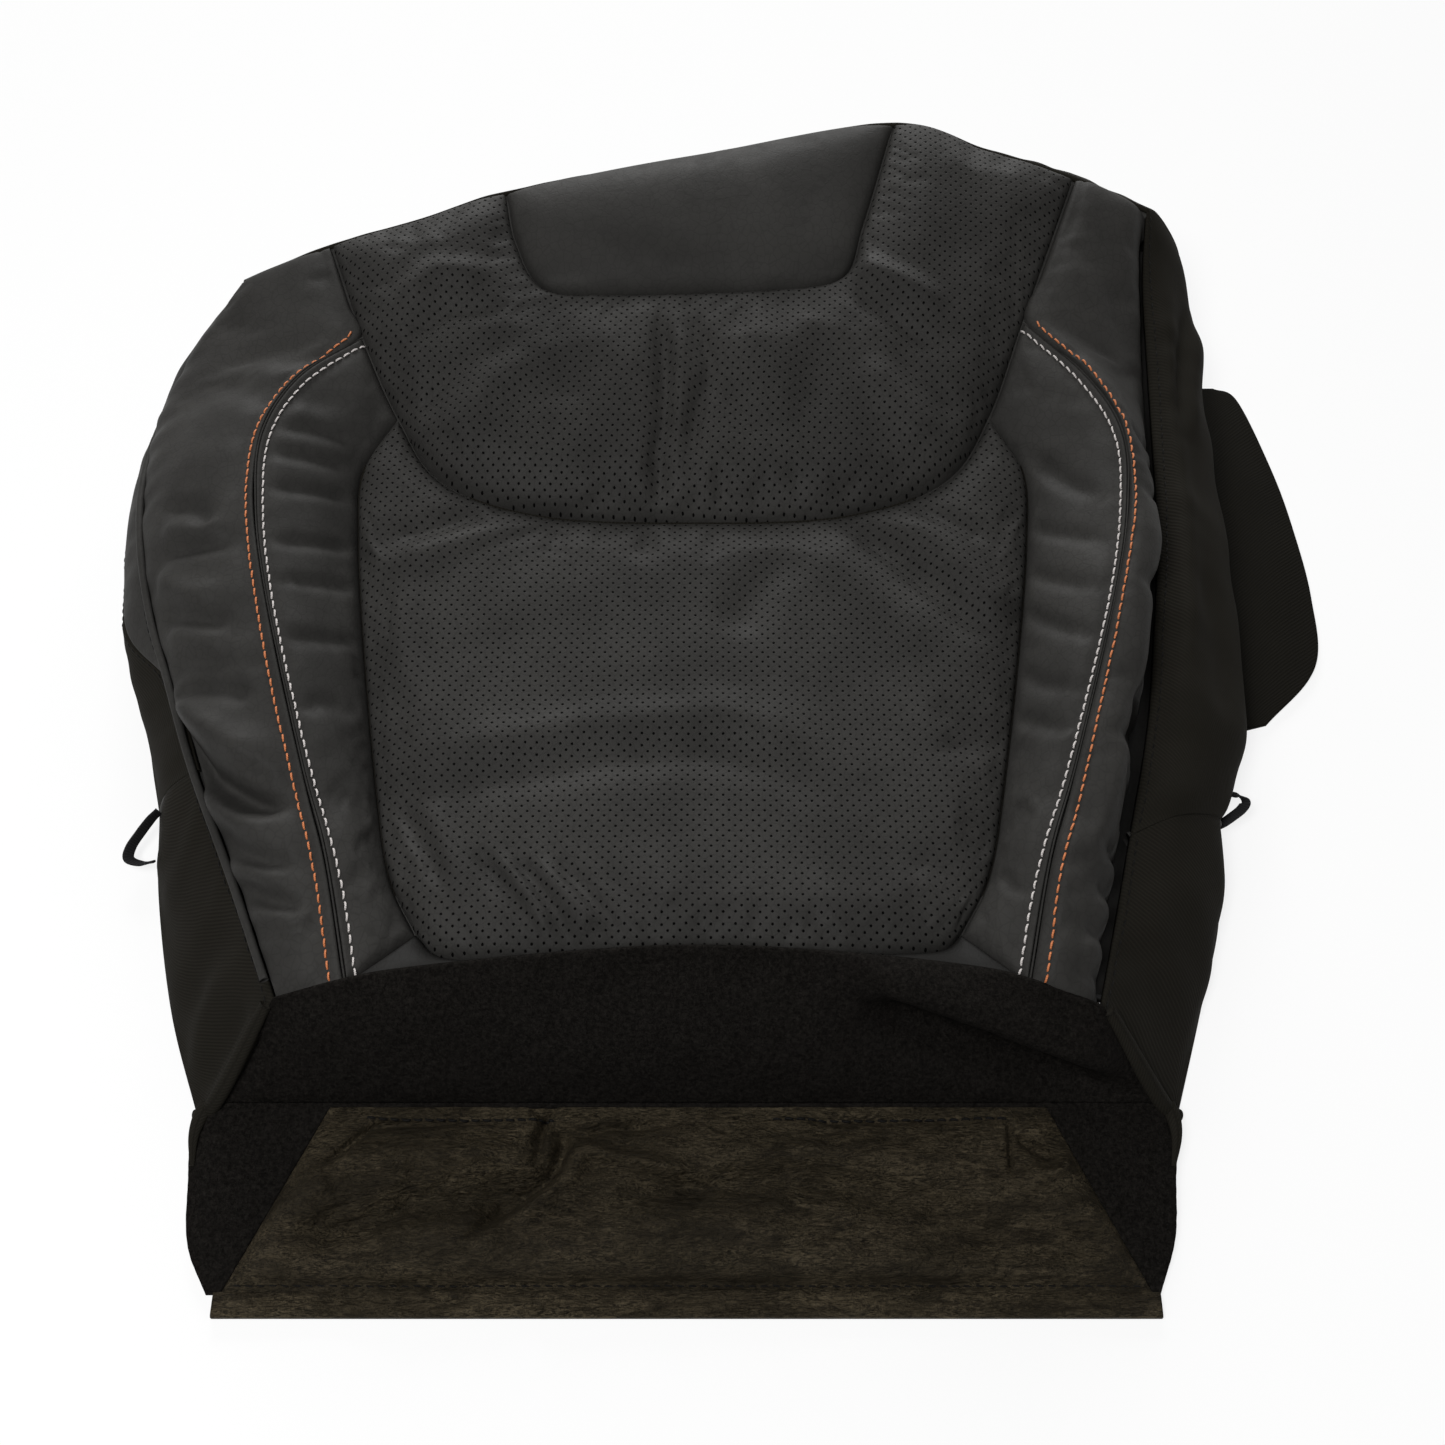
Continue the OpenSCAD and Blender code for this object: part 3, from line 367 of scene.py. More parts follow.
class Patch:
    """Surface between four seams: u runs along rear and front, v along left and right."""

    def __init__(self, rear, front, left, right):
        self.sides = [s if isinstance(s, Seam) else Seam(s) for s in (rear, front, left, right)]

    def at(self, u, v):
        """Points at shares u and v, which have one shape."""
        rear, front, left, right = self.sides
        a, b = u[..., None], v[..., None]
        ends = mix(mix(rear.on(0.0), rear.on(1.0), a), mix(front.on(0.0), front.on(1.0), a), b)
        return mix(rear.on(u), front.on(u), b) + mix(left.on(v), right.on(v), a) - ends

    def facing(self, u, v):
        """Outward directions at shares u and v."""
        step = 0.02
        across = self.at(np.minimum(1, u + step), v) - self.at(np.maximum(0, u - step), v)
        along = self.at(u, np.minimum(1, v + step)) - self.at(u, np.maximum(0, v - step))
        return unit(np.cross(across, along))


def unit(vectors):
    """The vectors at length 1."""
    return vectors / np.maximum(np.linalg.norm(vectors, axis=-1, keepdims=True), 1e-9)


def run_along(points, axis=0):
    """Distance run along a net of points, from its first one."""
    legs = np.linalg.norm(np.diff(points, axis=axis), axis=-1)
    start = np.zeros_like(np.take(legs, [0], axis=axis))
    return np.concatenate([start, np.cumsum(legs, axis=axis)], axis=axis)


def stations(lengths, count, near):
    """For each length, distances along it: close ones near both ends and count even ones between."""
    lengths = np.asarray(lengths, float)[:, None]
    edge = np.asarray(near, float)[None, :] * np.minimum(1, 0.35 * lengths / max(near[-1], 1e-6))
    inner = np.linspace(0, 1, count + 2)[None, 1:-1]
    return np.hstack([edge, mix(edge[:, -1:], lengths - edge[:, -1:], inner), lengths - edge[:, ::-1]])


class Net:
    """Rows and columns of points laid evenly on a patch, with their distances from its four seams."""

    def __init__(self, patch, cols, rows, near=(0,), gaps=(0, 0, 0, 0)):
        fine = np.linspace(0, 1, 121)
        base = patch.at(*np.meshgrid(fine, fine, indexing="ij"))
        along_u, along_v = run_along(base, 0), run_along(base, 1)
        wide = along_u[-1] - gaps[0] - gaps[1]
        deep = along_v[:, -1] - gaps[2] - gaps[3]
        at_u, at_v = stations(wide, cols, near), stations(deep, rows, near)
        u_of = np.array([np.interp(at + gaps[0], run, fine) for at, run in zip(at_u, along_u.T)])
        v_of = np.array([np.interp(at + gaps[2], run, fine) for at, run in zip(at_v, along_v)])
        n, m = at_u.shape[1], at_v.shape[1]
        v = np.repeat(v_of.mean(0)[None, :], n, axis=0)
        for _ in range(3):
            u = np.array([np.interp(v[i], fine, u_of[:, i]) for i in range(n)])
            v = np.array([np.interp(u[:, j], fine, v_of[:, j]) for j in range(m)]).T
        self.u, self.v = u, v
        left = np.array([np.interp(v[i], fine, at_u[:, i]) for i in range(n)])
        rear = np.array([np.interp(u[:, j], fine, at_v[:, j]) for j in range(m)]).T
        self.width, self.depth = np.interp(v, fine, wide), np.interp(u, fine, deep)
        self.off = [left, self.width - left, rear, self.depth - rear]
        self.place = patch.at(u, v)
        self.facing = patch.facing(u, v)

    def lean(self, ways, reach=5.0):
        """Turns the outward directions near each side to the way that both panels on that seam share."""
        for off, way in zip(self.off, ways):
            if way is not None:
                share = np.exp(-((off / reach) ** 2))[..., None]
                self.facing = unit(mix(self.facing, unit(np.asarray(way, float)), share))

    def area(self):
        """Surface of the net, in square metres."""
        p = self.place
        cross = np.cross(p[1:, 1:] - p[:-1, :-1], p[:-1, 1:] - p[1:, :-1])
        return np.linalg.norm(cross, axis=-1).sum() / 2 * MM * MM

    def line(self, side, distance):
        """Points and facings along a side (0 left, 1 right, 2 rear, 3 front) at a distance from it."""
        place, off, facing = self.place, self.off[side], self.shown_facing()
        if side < 2:
            place, off, facing = place.transpose(1, 0, 2), off.T, facing.transpose(1, 0, 2)
        order = np.argsort(off[0])
        out, way = [], []
        for k in range(len(place)):
            s = off[k][order]
            out.append([np.interp(distance, s, place[k][order, c]) for c in range(3)])
            way.append([np.interp(distance, s, facing[k][order, c]) for c in range(3)])
        return np.array(out), unit(np.array(way))

    def shown_facing(self):
        """Outward directions of the net as it now lies."""
        across, along = np.gradient(self.place, axis=0), np.gradient(self.place, axis=1)
        return unit(np.cross(across, along))


def weights(f):
    """Weights of the four values round a spot at share f of the way between the middle two."""
    return (
        (2 * f**2 - f - f**3) / 2, (2 - 5 * f**2 + 3 * f**3) / 2,
        (f + 4 * f**2 - 3 * f**3) / 2, (f**3 - f**2) / 2,
    )


def sample(net, a, b):
    """Smooth values of a net of numbers at shares a and b of its two ways."""
    n, m = net.shape[:2]
    x, y = np.clip(a, 0, 1) * (n - 1), np.clip(b, 0, 1) * (m - 1)
    i, j = np.minimum(x.astype(int), n - 2), np.minimum(y.astype(int), m - 2)
    total = 0
    for di, wi in zip((-1, 0, 1, 2), weights(x - i)):
        for dj, wj in zip((-1, 0, 1, 2), weights(y - j)):
            value = net[np.clip(i + di, 0, n - 1), np.clip(j + dj, 0, m - 1)]
            total = total + (wi * wj)[..., None] * value
    return total


# ---- Relief of a panel ----

CLOTH_FRAMES = 20


def rising(off, over):
    """Runs from 0 at a seam towards 1, most of the way over that distance."""
    return 1 - np.exp(-off / over)


def fold_height(folds, place):
    """Height of the folds at each point; each fades out at both its ends."""
    spot = place[..., :2]
    total = np.zeros(spot.shape[:-1])
    for way, width, height in folds:
        way = curve_at(way, np.linspace(0, len(way) - 1, 13))
        nearest = np.full(total.shape, 1e9)
        share = np.zeros(total.shape)
        for k in range(len(way) - 1):
            leg = way[k + 1] - way[k]
            t = np.clip(((spot - way[k]) @ leg) / (leg @ leg), 0, 1)
            off = np.linalg.norm(spot - way[k] - t[..., None] * leg, axis=-1)
            closer = off < nearest
            nearest = np.where(closer, off, nearest)
            share = np.where(closer, (k + t) / (len(way) - 1), share)
        fade = np.clip(4 * np.minimum(share, 1 - share), 0, 1)
        total += height * np.exp(-((nearest / width) ** 2)) * (0.15 + 0.85 * fade * fade * (3 - 2 * fade))
    return total


def lumps(place, seed, size):
    """Smooth random heights from about -1 to 1, with lumps of about that size."""
    dice = np.random.default_rng(seed)
    total = 0
    for _ in range(9):
        way = dice.normal(size=3)
        way *= 2 * math.pi / (size * dice.uniform(0.6, 1.7) * np.linalg.norm(way))
        total = total + np.sin(place @ way + dice.uniform(0, 2 * math.pi))
    return total / 3


def creases(place, seed, size):
    """Random heights with sharp creases, as in crumpled cloth, from 0 to about 1."""
    dice = np.random.default_rng(seed)
    flat = place.reshape(-1, 3)[:, :2]
    low, high = flat.min(0) - size, flat.max(0) + size
    count = int((high - low).prod() / size**2)
    seeds = dice.uniform(low, high, size=(count, 2))
    warp = np.stack([lumps(place, seed + 1, size), lumps(place, seed + 2, size)], -1)
    spot = place[..., :2] + size * 0.25 * warp
    off = np.linalg.norm(spot[..., None, :] - seeds, axis=-1)
    off.partition(1, axis=-1)
    return np.clip((off[..., 1] - off[..., 0]) / size, 0, 1)


def puckers(net, side, seed, height, wave, reach, margin):
    """Short ripples that run in from a gathered seam, or from the margin beside it."""
    along = net.off[2] if side < 2 else net.off[0]
    dice = np.random.default_rng(seed)
    total = 0
    for k in range(5):
        turn = 2 * math.pi / (wave * dice.uniform(0.6, 1.8))
        total = total + np.sin(along * turn + dice.uniform(0, 6.28) + 1.5 * np.sin(along * turn / 5.3 + k))
    off = np.maximum(net.off[side] - margin, 0)
    return height * total / 2.2 * np.exp(-off / reach) * rising(off, 2.5)


def beside(width, last):
    """A flat margin of that width beside a top-stitched seam, up to that share of the panel's length."""

    def margin(net):
        share = np.clip((last - net.off[2] / net.depth) / 0.05, 0, 1)
        return width * share * share * (3 - 2 * share)

    return margin


def swell(net, crown, roll, margins):
    """Height of a padded panel that rolls down to its four seams."""
    height = crown
    for off, margin in zip(net.off, spans(net, margins)):
        height = height * rising(np.maximum(off - margin, 0), roll)
    return height


def spans(net, margins):
    """The four margins of a net, worked out where they change along a seam."""
    return [margin(net) if callable(margin) else margin for margin in margins]


def turned(net, radii):
    """Depth to which the edges turn down into their seams."""
    depth = np.zeros(net.u.shape)
    for off, radius in zip(net.off, radii):
        if radius:
            inside = np.clip(off / radius, 0, 1)
            depth = np.minimum(depth, -radius * (1 - np.sqrt(1 - (1 - inside) ** 2)))
    return depth


def stitch_dent(net, side, distance):
    """Furrow that a row of top stitches presses into a panel."""
    depth, width = 0.55, 1.1
    return -depth * np.exp(-(((net.off[side] - distance) / width) ** 2))


def billow(name, net, height, pressure, spare, cap):
    """Runs cloth on a net held along its seams, and gives each point's move, no longer than the cap."""
    start = (net.place + net.facing * height[..., None]).reshape(-1, 3)
    n, m = net.u.shape
    body = mesh_of(name + "_cloth", start, net_faces(n, m))
    body_object = bpy.data.objects.new(name + "_cloth", body)
    bpy.context.scene.collection.objects.link(body_object)
    held = [k for k in range(n * m) if k // m in (0, n - 1) or k % m in (0, m - 1)]
    body_object.vertex_groups.new(name="seam").add(held, 1.0, "REPLACE")
    cloth = body_object.modifiers.new("Cloth", "CLOTH")
    cloth.settings.quality = 6
    cloth.settings.mass = 0.3
    cloth.settings.tension_stiffness = cloth.settings.compression_stiffness = 18
    cloth.settings.shear_stiffness = 6
    cloth.settings.bending_stiffness = 0.8
    cloth.settings.shrink_min = -spare
    cloth.settings.use_pressure = True
    cloth.settings.uniform_pressure_force = pressure
    cloth.settings.vertex_group_mass = "seam"
    cloth.settings.effector_weights.gravity = 0
    cloth.point_cache.frame_start, cloth.point_cache.frame_end = 1, CLOTH_FRAMES
    for step in range(1, CLOTH_FRAMES + 1):
        bpy.context.scene.frame_set(step)
    moved = body_object.evaluated_get(bpy.context.evaluated_depsgraph_get()).to_mesh()
    end = np.empty(len(moved.vertices) * 3)
    moved.vertices.foreach_get("co", end)
    bpy.data.objects.remove(body_object)
    bpy.data.meshes.remove(body)
    bpy.context.scene.frame_set(1)
    shift = (end.reshape(-1, 3) / MM + MIDDLE - start).reshape(n, m, 3)
    length = np.linalg.norm(shift, axis=-1, keepdims=True)
    print("billow", name, "largest move %.2f mm" % length.max())
    return shift * np.minimum(1, cap / np.maximum(length, 1e-6))


# ---- Meshes ----


def net_faces(n, m, start=0, flip=False):
    """Four-cornered faces between the points of a net."""
    i, j = np.meshgrid(np.arange(n - 1), np.arange(m - 1), indexing="ij")
    a = (i * m + j + start).ravel()
    faces = np.stack([a, a + m, a + m + 1, a + 1], 1)
    return faces[:, ::-1] if flip else faces


def mesh_of(name, points, faces, uv=None, finish=None):
    """Smooth mesh of points in millimetres; finish gives each face's material."""
    mesh = bpy.data.meshes.new(name)
    points = (np.asarray(points).reshape(-1, 3) - MIDDLE) * MM
    mesh.from_pydata(points.tolist(), [], faces if isinstance(faces, list) else faces.tolist())
    mesh.polygons.foreach_set("use_smooth", np.ones(len(mesh.polygons), bool))
    if finish is not None:
        mesh.polygons.foreach_set("material_index", np.asarray(finish, np.int32))
    if uv is not None:
        corner = np.empty(len(mesh.loops), np.int32)
        mesh.loops.foreach_get("vertex_index", corner)
        layer = mesh.uv_layers.new(name="cut")
        layer.data.foreach_set("uv", (np.asarray(uv).reshape(-1, 2)[corner] * MM).ravel())
    mesh.update()
    return mesh


def piece_of(name, mesh, looks, body, nodes=(), slot=None):
    """Object that rides on a body and takes the place of CAD nodes."""
    piece = bpy.data.objects.new(name, mesh)
    bpy.context.scene.collection.objects.link(piece)
    made = looks_of(bpy.context.scene.cover_colours)
    for look in looks:
        mesh.materials.append(made[look])
    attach(piece, body)
    slot = slot or SLOTS.get(looks[0])
    if nodes:
        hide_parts(*nodes)
    return piece


def shell(name, net, under, looks, body, nodes):
    """Closed piece between a net's points and the points under it."""
    n, m = net.u.shape
    count = n * m
    rim = np.concatenate([
        np.arange(n) * m, (n - 1) * m + np.arange(1, m),
        np.arange(n - 2, -1, -1) * m + m - 1, np.arange(m - 2, 0, -1),
    ])
    after = np.roll(rim, -1)
    walls = np.stack([rim, rim + count, after + count, after], 1)
    top, bottom = net_faces(n, m), net_faces(n, m, count, flip=True)
    points = np.concatenate([net.place.reshape(-1, 3), under.reshape(-1, 3)])
    uv = np.stack([net.off[0], net.off[2]], -1).reshape(-1, 2)
    finish = np.concatenate([np.zeros(len(top) + len(walls)), np.full(len(bottom), len(looks) - 1)])
    mesh = mesh_of(name, points, np.concatenate([top, walls, bottom]), np.concatenate([uv, uv]), finish)
    return piece_of(name, mesh, looks, body, nodes)


def around(rings, sides, flip=False):
    """Four-cornered faces between rings of points that are each closed."""
    i, j = np.meshgrid(np.arange(rings - 1), np.arange(sides), indexing="ij")
    a, b = (i * sides + j).ravel(), (i * sides + (j + 1) % sides).ravel()
    faces = np.stack([a, a + sides, b + sides, b], 1)
    return faces[:, [0, 3, 2, 1]] if flip else faces


def sweep(name, path, section, look, body="cover", nodes=(), slot=None, sizes=None, up=UP, hole=None):
    """Closed piece swept along a path; section and hole are rings of (sideways, upwards) points."""
    path, section = np.asarray(path, float), np.asarray(section, float)
    sizes = np.ones(len(path)) if sizes is None else np.asarray(sizes, float)
    way = unit(np.gradient(path, axis=0))
    side = unit(np.cross(way, np.asarray(up, float)))
    rise = np.cross(side, way)

    def rings(ring):
        scaled = ring[None] * sizes[:, None, None]
        return path[:, None] + scaled[..., :1] * side[:, None] + scaled[..., 1:] * rise[:, None]

    n, m = len(path), len(section)
    uv = np.stack(np.meshgrid(run_along(path), np.arange(m) * 1.0, indexing="ij"), -1)
    outer = around(n, m)
    ends = np.arange(m)
    if hole is None:
        faces = outer.tolist() + [ends[::-1].tolist(), (ends + (n - 1) * m).tolist()]
        points = rings(section).reshape(-1, 3)
        uv = uv.reshape(-1, 2)
    else:
        count = n * m
        nxt = (ends + 1) % m
        last = (n - 1) * m
        caps = np.concatenate([
            np.stack([ends, nxt, nxt + count, ends + count], 1),
            np.stack([ends + last, ends + count + last, nxt + count + last, nxt + last], 1),
        ])
        faces = np.concatenate([outer, outer[:, ::-1] + count, caps]).tolist()
        points = np.concatenate([rings(ring).reshape(-1, 3) for ring in (section, np.asarray(hole, float))])
        uv = np.concatenate([uv.reshape(-1, 2)] * 2)
    return piece_of(name, mesh_of(name, points, faces, uv), (look,), body, nodes, slot)


def ring(width, height, sides, square=2.0):
    """Closed outline, from round (square 2) to nearly a rectangle (square 5 and up)."""
    turn = np.linspace(0, 2 * math.pi, sides, endpoint=False)
    out = np.stack([np.sin(turn), np.cos(turn)], 1)
    return np.array([width, height]) / 2 * np.sign(out) * np.abs(out) ** (2 / square)


def stitch_row(name, path, facing, look, body, skip, seed, girth):
    """One piece of single stitches laid along a line on a panel, which skips a length at both ends."""
    sizes, slant = bpy.context.scene.cover_sizes, 6.0
    run = run_along(path)
    dice = np.random.default_rng(seed)
    first, last = skip[0], run[-1] - skip[1]
    count = int((last - first) // sizes.stitch_pitch)
    pitch = (last - first) / count
    shares = np.array([0.1, 0.17, 0.32, 0.5, 0.68, 0.83, 0.9])
    lifts = np.array([-0.55, 0.02, 0.4, 0.48, 0.4, 0.02, -0.55]) * sizes.thread_width * girth
    girths = np.array([0.55, 0.9, 1.0, 1.04, 1.0, 0.9, 0.55]) * sizes.thread_width * girth / 2
    sides = 7
    spots = first + (np.arange(count)[:, None] + shares[None]) * pitch
    centre = np.stack([np.interp(spots, run, path[:, c]) for c in range(3)], -1)
    out = unit(np.stack([np.interp(spots, run, facing[:, c]) for c in range(3)], -1))
    way = unit(centre[:, -1] - centre[:, 0])[:, None, :] * np.ones((1, len(shares), 1))
    side = unit(np.cross(way, out))
    lean = np.tan(np.radians(slant + dice.normal(0, 1.5, (count, 1, 1))))
    centre = centre + out * lifts[None, :, None] + side * lean * ((shares - 0.5) * pitch)[None, :, None]
    centre += side * dice.normal(0, 0.05, (count, 1, 1))
    turn = np.linspace(0, 2 * math.pi, sides, endpoint=False)
    wheel = np.cos(turn)[:, None] * side[:, :, None] + np.sin(turn)[:, None] * out[:, :, None]
    points = centre[:, :, None] + wheel * girths[:, None, None]
    rings = len(shares)
    one = around(rings, sides, flip=True).tolist()
    one += [list(range(sides))[::-1], [(rings - 1) * sides + k for k in range(sides)]]
    faces = [[v + k * rings * sides for v in f] for k in range(count) for f in one]
    uv = np.stack([np.repeat(spots[..., None], sides, -1), np.ones((count, rings, 1)) * turn], -1)
    return piece_of(name, mesh_of(name, points, faces, uv), (look,), body)


# ---- Materials ----


class Shade:
    """A value in a material. Sums on it add the nodes that work it out."""

    def __init__(self, look, socket):
        self.look, self.socket = look, socket

    def _math(self, operation, *values):
        node = self.look.node("ShaderNodeMath", {"operation": operation}, dict(enumerate(values)))
        return Shade(self.look, node.outputs[0])

    def __add__(self, other):
        return self._math("ADD", self, other)

    def __sub__(self, other):
        return self._math("SUBTRACT", self, other)

    def __rsub__(self, other):
        return self._math("SUBTRACT", other, self)

    def __mul__(self, other):
        return self._math("MULTIPLY", self, other)

    __radd__, __rmul__ = __add__, __mul__

    def least(self, other):
        return self._math("MINIMUM", self, other)

    def power(self, other):
        return self._math("POWER", self, other)

    def sine(self):
        return self._math("SINE", self)

    def fold_back(self, span):
        """Runs from 0 up to span and back down, over and over."""
        return self._math("PINGPONG", self, span)

    def between(self, low, high):
        """0 below low, 1 above high, smooth between; low may be the higher one."""
        settings = {"interpolation_type": "SMOOTHSTEP"}
        sockets = {"Value": self, "From Min": low, "From Max": high}
        return Shade(self.look, self.look.node("ShaderNodeMapRange", settings, sockets).outputs["Result"])


class Nodes:
    """A node tree that is put together node by node."""

    def __init__(self, tree):
        self.tree = tree

    def node(self, kind, settings=None, sockets=None):
        """Adds a node: its settings first, then a value or a link for each socket named."""
        node = self.tree.nodes.new(kind)
        for key, value in (settings or {}).items():
            setattr(node, key, value)
        for key, value in (sockets or {}).items():
            self.put(node.inputs[key], value)
        return node

    def put(self, socket, value):
        """Links a value from the tree to a socket, or sets a plain one on it."""
        if isinstance(value, Shade):
            self.tree.links.new(value.socket, socket)
        else:
            socket.default_value = value

    def showing(self):
        """1 for the rays that show the background: straight on, mirrored or through glass."""
        path = self.node("ShaderNodeLightPath")
        kinds = ("Is Camera Ray", "Is Glossy Ray", "Is Transmission Ray")
        straight, mirrored, through = (Shade(self, path.outputs[kind]) for kind in kinds)
        return (straight + mirrored + through).least(1.0)


class Look(Nodes):
    """A material on one Principled shader."""

    def __init__(self, name, **constants):
        self.material = bpy.data.materials.new(name)
        self.material.use_nodes = True
        super().__init__(self.material.node_tree)
        self.shader = self.tree.nodes["Principled BSDF"]
        for key, value in constants.items():
            self.shader.inputs[key.replace("_", " ").title().replace("Ior", "IOR")].default_value = value

    def finished(self, face, rough, normal):
        """The material, with its colour, roughness and relief linked to the shader."""
        for socket, value in (("Base Color", face), ("Roughness", rough), ("Normal", normal)):
            if value:
                self.put(self.shader.inputs[socket], value)
        return self.material

    def place(self):
        """The spot on the object, in metres, as a vector."""
        return Shade(self, self.node("ShaderNodeTexCoord").outputs["Object"])

    def cut(self):
        """The spot on the flat cut of the piece, in metres, as a vector."""
        return Shade(self, self.node("ShaderNodeTexCoord").outputs["UV"])

    def parts(self, vector):
        """The three parts of a vector."""
        node = self.node("ShaderNodeSeparateXYZ", None, {0: vector})
        return [Shade(self, socket) for socket in node.outputs]

    def stretch(self, vector, scale, turn=(0, 0, 0)):
        """The vector scaled, and turned by so many degrees."""
        angles = [math.radians(a) for a in turn]
        node = self.node("ShaderNodeMapping", None, {"Vector": vector, "Rotation": angles, "Scale": scale})
        return Shade(self, node.outputs[0])

    def noise(self, vector, scale, detail=3.0, rough=0.5, warp=0.0):
        sockets = {"Vector": vector, "Scale": scale, "Detail": detail, "Roughness": rough, "Distortion": warp}
        return Shade(self, self.node("ShaderNodeTexNoise", None, sockets).outputs[0])

    def cells(self, vector, scale, feature):
        node = self.node("ShaderNodeTexVoronoi", {"feature": feature}, {"Vector": vector, "Scale": scale})
        return Shade(self, node.outputs["Distance"])

    def blend(self, share, a, b):
        """The colour at that share of the way from a to b."""
        node = self.node("ShaderNodeMix", {"data_type": "RGBA"})
        for socket, value in ((0, share), (6, a), (7, b)):
            self.put(node.inputs[socket], value)
        return Shade(self, node.outputs[2])

    def bump(self, height, depth, strength=1.0, under=None):
        """Relief of that depth in metres, over the relief under it."""
        sockets = {"Height": height, "Distance": depth, "Strength": strength}
        if under is not None:
            sockets["Normal"] = under
        return Shade(self, self.node("ShaderNodeBump", None, sockets).outputs[0])


def tone(colour, level=1.0):
    """The colour at a level of brightness, with its alpha."""
    return tuple(min(1.0, c * level) for c in colour[:3]) + (1.0,)


def leather(name, colour, holes=None, pitch=None, turn=0.0):
    """Grained leather; holes is their radius and pitch their spacing in mm, in rows turned by some degrees."""
    look = Look(name, specular_ior_level=0.05)
    place = look.place()
    grain = look.cells(place, 900, "SMOOTH_F1")
    pores = look.noise(place, 2600, 2.0)
    crease = look.cells(look.stretch(place, (1, 0.8, 1)), 260, "DISTANCE_TO_EDGE").between(0.0, 0.09)
    cloudy = look.noise(place, 22, 4.0, 0.6)
    worn = look.noise(place, 70, 5.0, 0.65).between(0.35, 0.72)
    relief = grain * 0.7 + pores * 0.2 + crease * 0.25
    face = look.blend(cloudy.between(0.3, 0.72), tone(colour, 0.84), tone(colour, 1.2))
    face = look.blend(crease * -0.3 + 0.3, face, tone(colour, 0.5))
    rough = worn * 0.08 + pores * 0.06 + 0.5
    normal = look.bump(look.noise(place, 120, 3.0, 0.55), 0.0005, 0.4)
    if holes:
        x, y, _ = look.parts(look.stretch(place, (1, 1, 0), (0, 0, turn)))
        half = pitch * MM / 2
        nearest = None
        for shift in (0.0, half):
            away = [(v + (shift + 1.0)).fold_back(half) for v in (x, y)]
            reach = (away[0] * away[0] + away[1] * away[1]).power(0.5)
            nearest = reach if nearest is None else nearest.least(reach)
        pit = nearest.between((holes + 0.1) * MM, (holes - 0.06) * MM)
        lip = nearest.between((holes + 0.55) * MM, holes * MM)
        # The holes are painted black: painted shade inside each hole, which the mesh doesn't cut
        face = look.blend(pit, face, (0, 0, 0, 1))
        rough = rough + pit * 0.4
        relief = relief * (1 - pit) - pit * 3.0 - lip * 0.6
    return look.finished(face, rough, look.bump(relief, 0.00012, 0.7, normal))


def woven(name, colour, ribs, sheen=0.04, slant=45.0, weft=0.4):
    """Skirt cloth: ribs is their spacing in millimetres along the cut's slant."""
    look = Look(name, specular_ior_level=sheen)
    cut = look.stretch(look.cut(), (1, 1, 0), (0, 0, slant))
    wobble = look.noise(look.cut(), 60, 2.0) * 0.0012
    x, y, _ = look.parts(cut)
    rib = ((x + wobble) * (2 * math.pi / (ribs * MM))).sine() * 0.5 + 0.5
    thread = (y * (2 * math.pi / (ribs * weft * MM))).sine() * 0.5 + 0.5
    fuzz = look.noise(look.cut(), 1500, 3.0, 0.7)
    patchy = look.noise(look.place(), 30, 3.0)
    face = look.blend(rib * 0.7 + fuzz * 0.4 - 0.1, tone(colour, 0.62), tone(colour, 1.3))
    face = look.blend(patchy.between(0.3, 0.75) * 0.5, face, tone(colour, 0.7))
    rough, relief = fuzz * 0.2 + 0.72, rib * (thread * 0.35 + 0.65) + fuzz * 0.3
    return look.finished(face, rough, look.bump(relief, 0.0002, 0.6))


def felted(name, colour):
    """Needled felt: mottled, with short fibres every way."""
    look, fibre = Look(name, specular_ior_level=0.02), 640
    place = look.place()
    clumps = look.noise(place, 520, 4.0, 0.7, 0.4)
    hairs = look.noise(look.stretch(place, (1, 2.6, 1), (0, 0, 32)), fibre, 5.0, 0.75, 0.8)
    more = look.noise(look.stretch(place, (2.6, 1, 1), (0, 0, -24)), fibre, 5.0, 0.75, 0.8)
    mottle = (hairs + more + clumps * 1.2) * (1 / 3.2)
    face = look.blend(mottle.between(0.4, 0.66), tone(colour, 0.4), tone(colour, 1.9))
    return look.finished(face, clumps * 0.15 + 0.8, look.bump(mottle, 0.0011, 0.8))


def nonwoven(name, colour):
    """Tail cloth: pressed fibres that run aslant, with a slight shine."""
    look = Look(name, specular_ior_level=0.06)
    place = look.place()
    streak = look.noise(look.stretch(place, (0.4, 1.9, 1), (0, 0, -40)), 330, 4.0, 0.66, 3.0)
    cross = look.noise(look.stretch(place, (1.7, 0.6, 1), (0, 0, -12)), 700, 3.0, 0.65, 1.6)
    blotch = look.noise(look.stretch(place, (0.55, 1.8, 1), (0, 0, -32)), 42, 5.0, 0.7, 1.4)
    fibre = streak * 0.78 + cross * 0.22
    face = look.blend(fibre.between(0.37, 0.63), tone(colour, 0.36), tone(colour, 2.9))
    face = look.blend(blotch.between(0.46, 0.62) * 0.6, face, tone(colour, 0.35))
    broad = look.noise(look.stretch(place, (0.6, 1.5, 1), (0, 0, -25)), 13, 3.0, 0.6, 1.2)
    face = look.blend(broad.between(0.44, 0.6) * 0.5, face, tone(colour, 0.5))
    crumple = look.noise(look.stretch(place, (0.7, 1.5, 1), (0, 0, -38)), 110, 4.0, 0.6, 1.4)
    normal = look.bump(fibre, 0.0011, 1.0, look.bump(crumple, 0.005, 0.9))
    return look.finished(face, blotch * 0.2 + fibre * 0.2 + 0.36, normal)


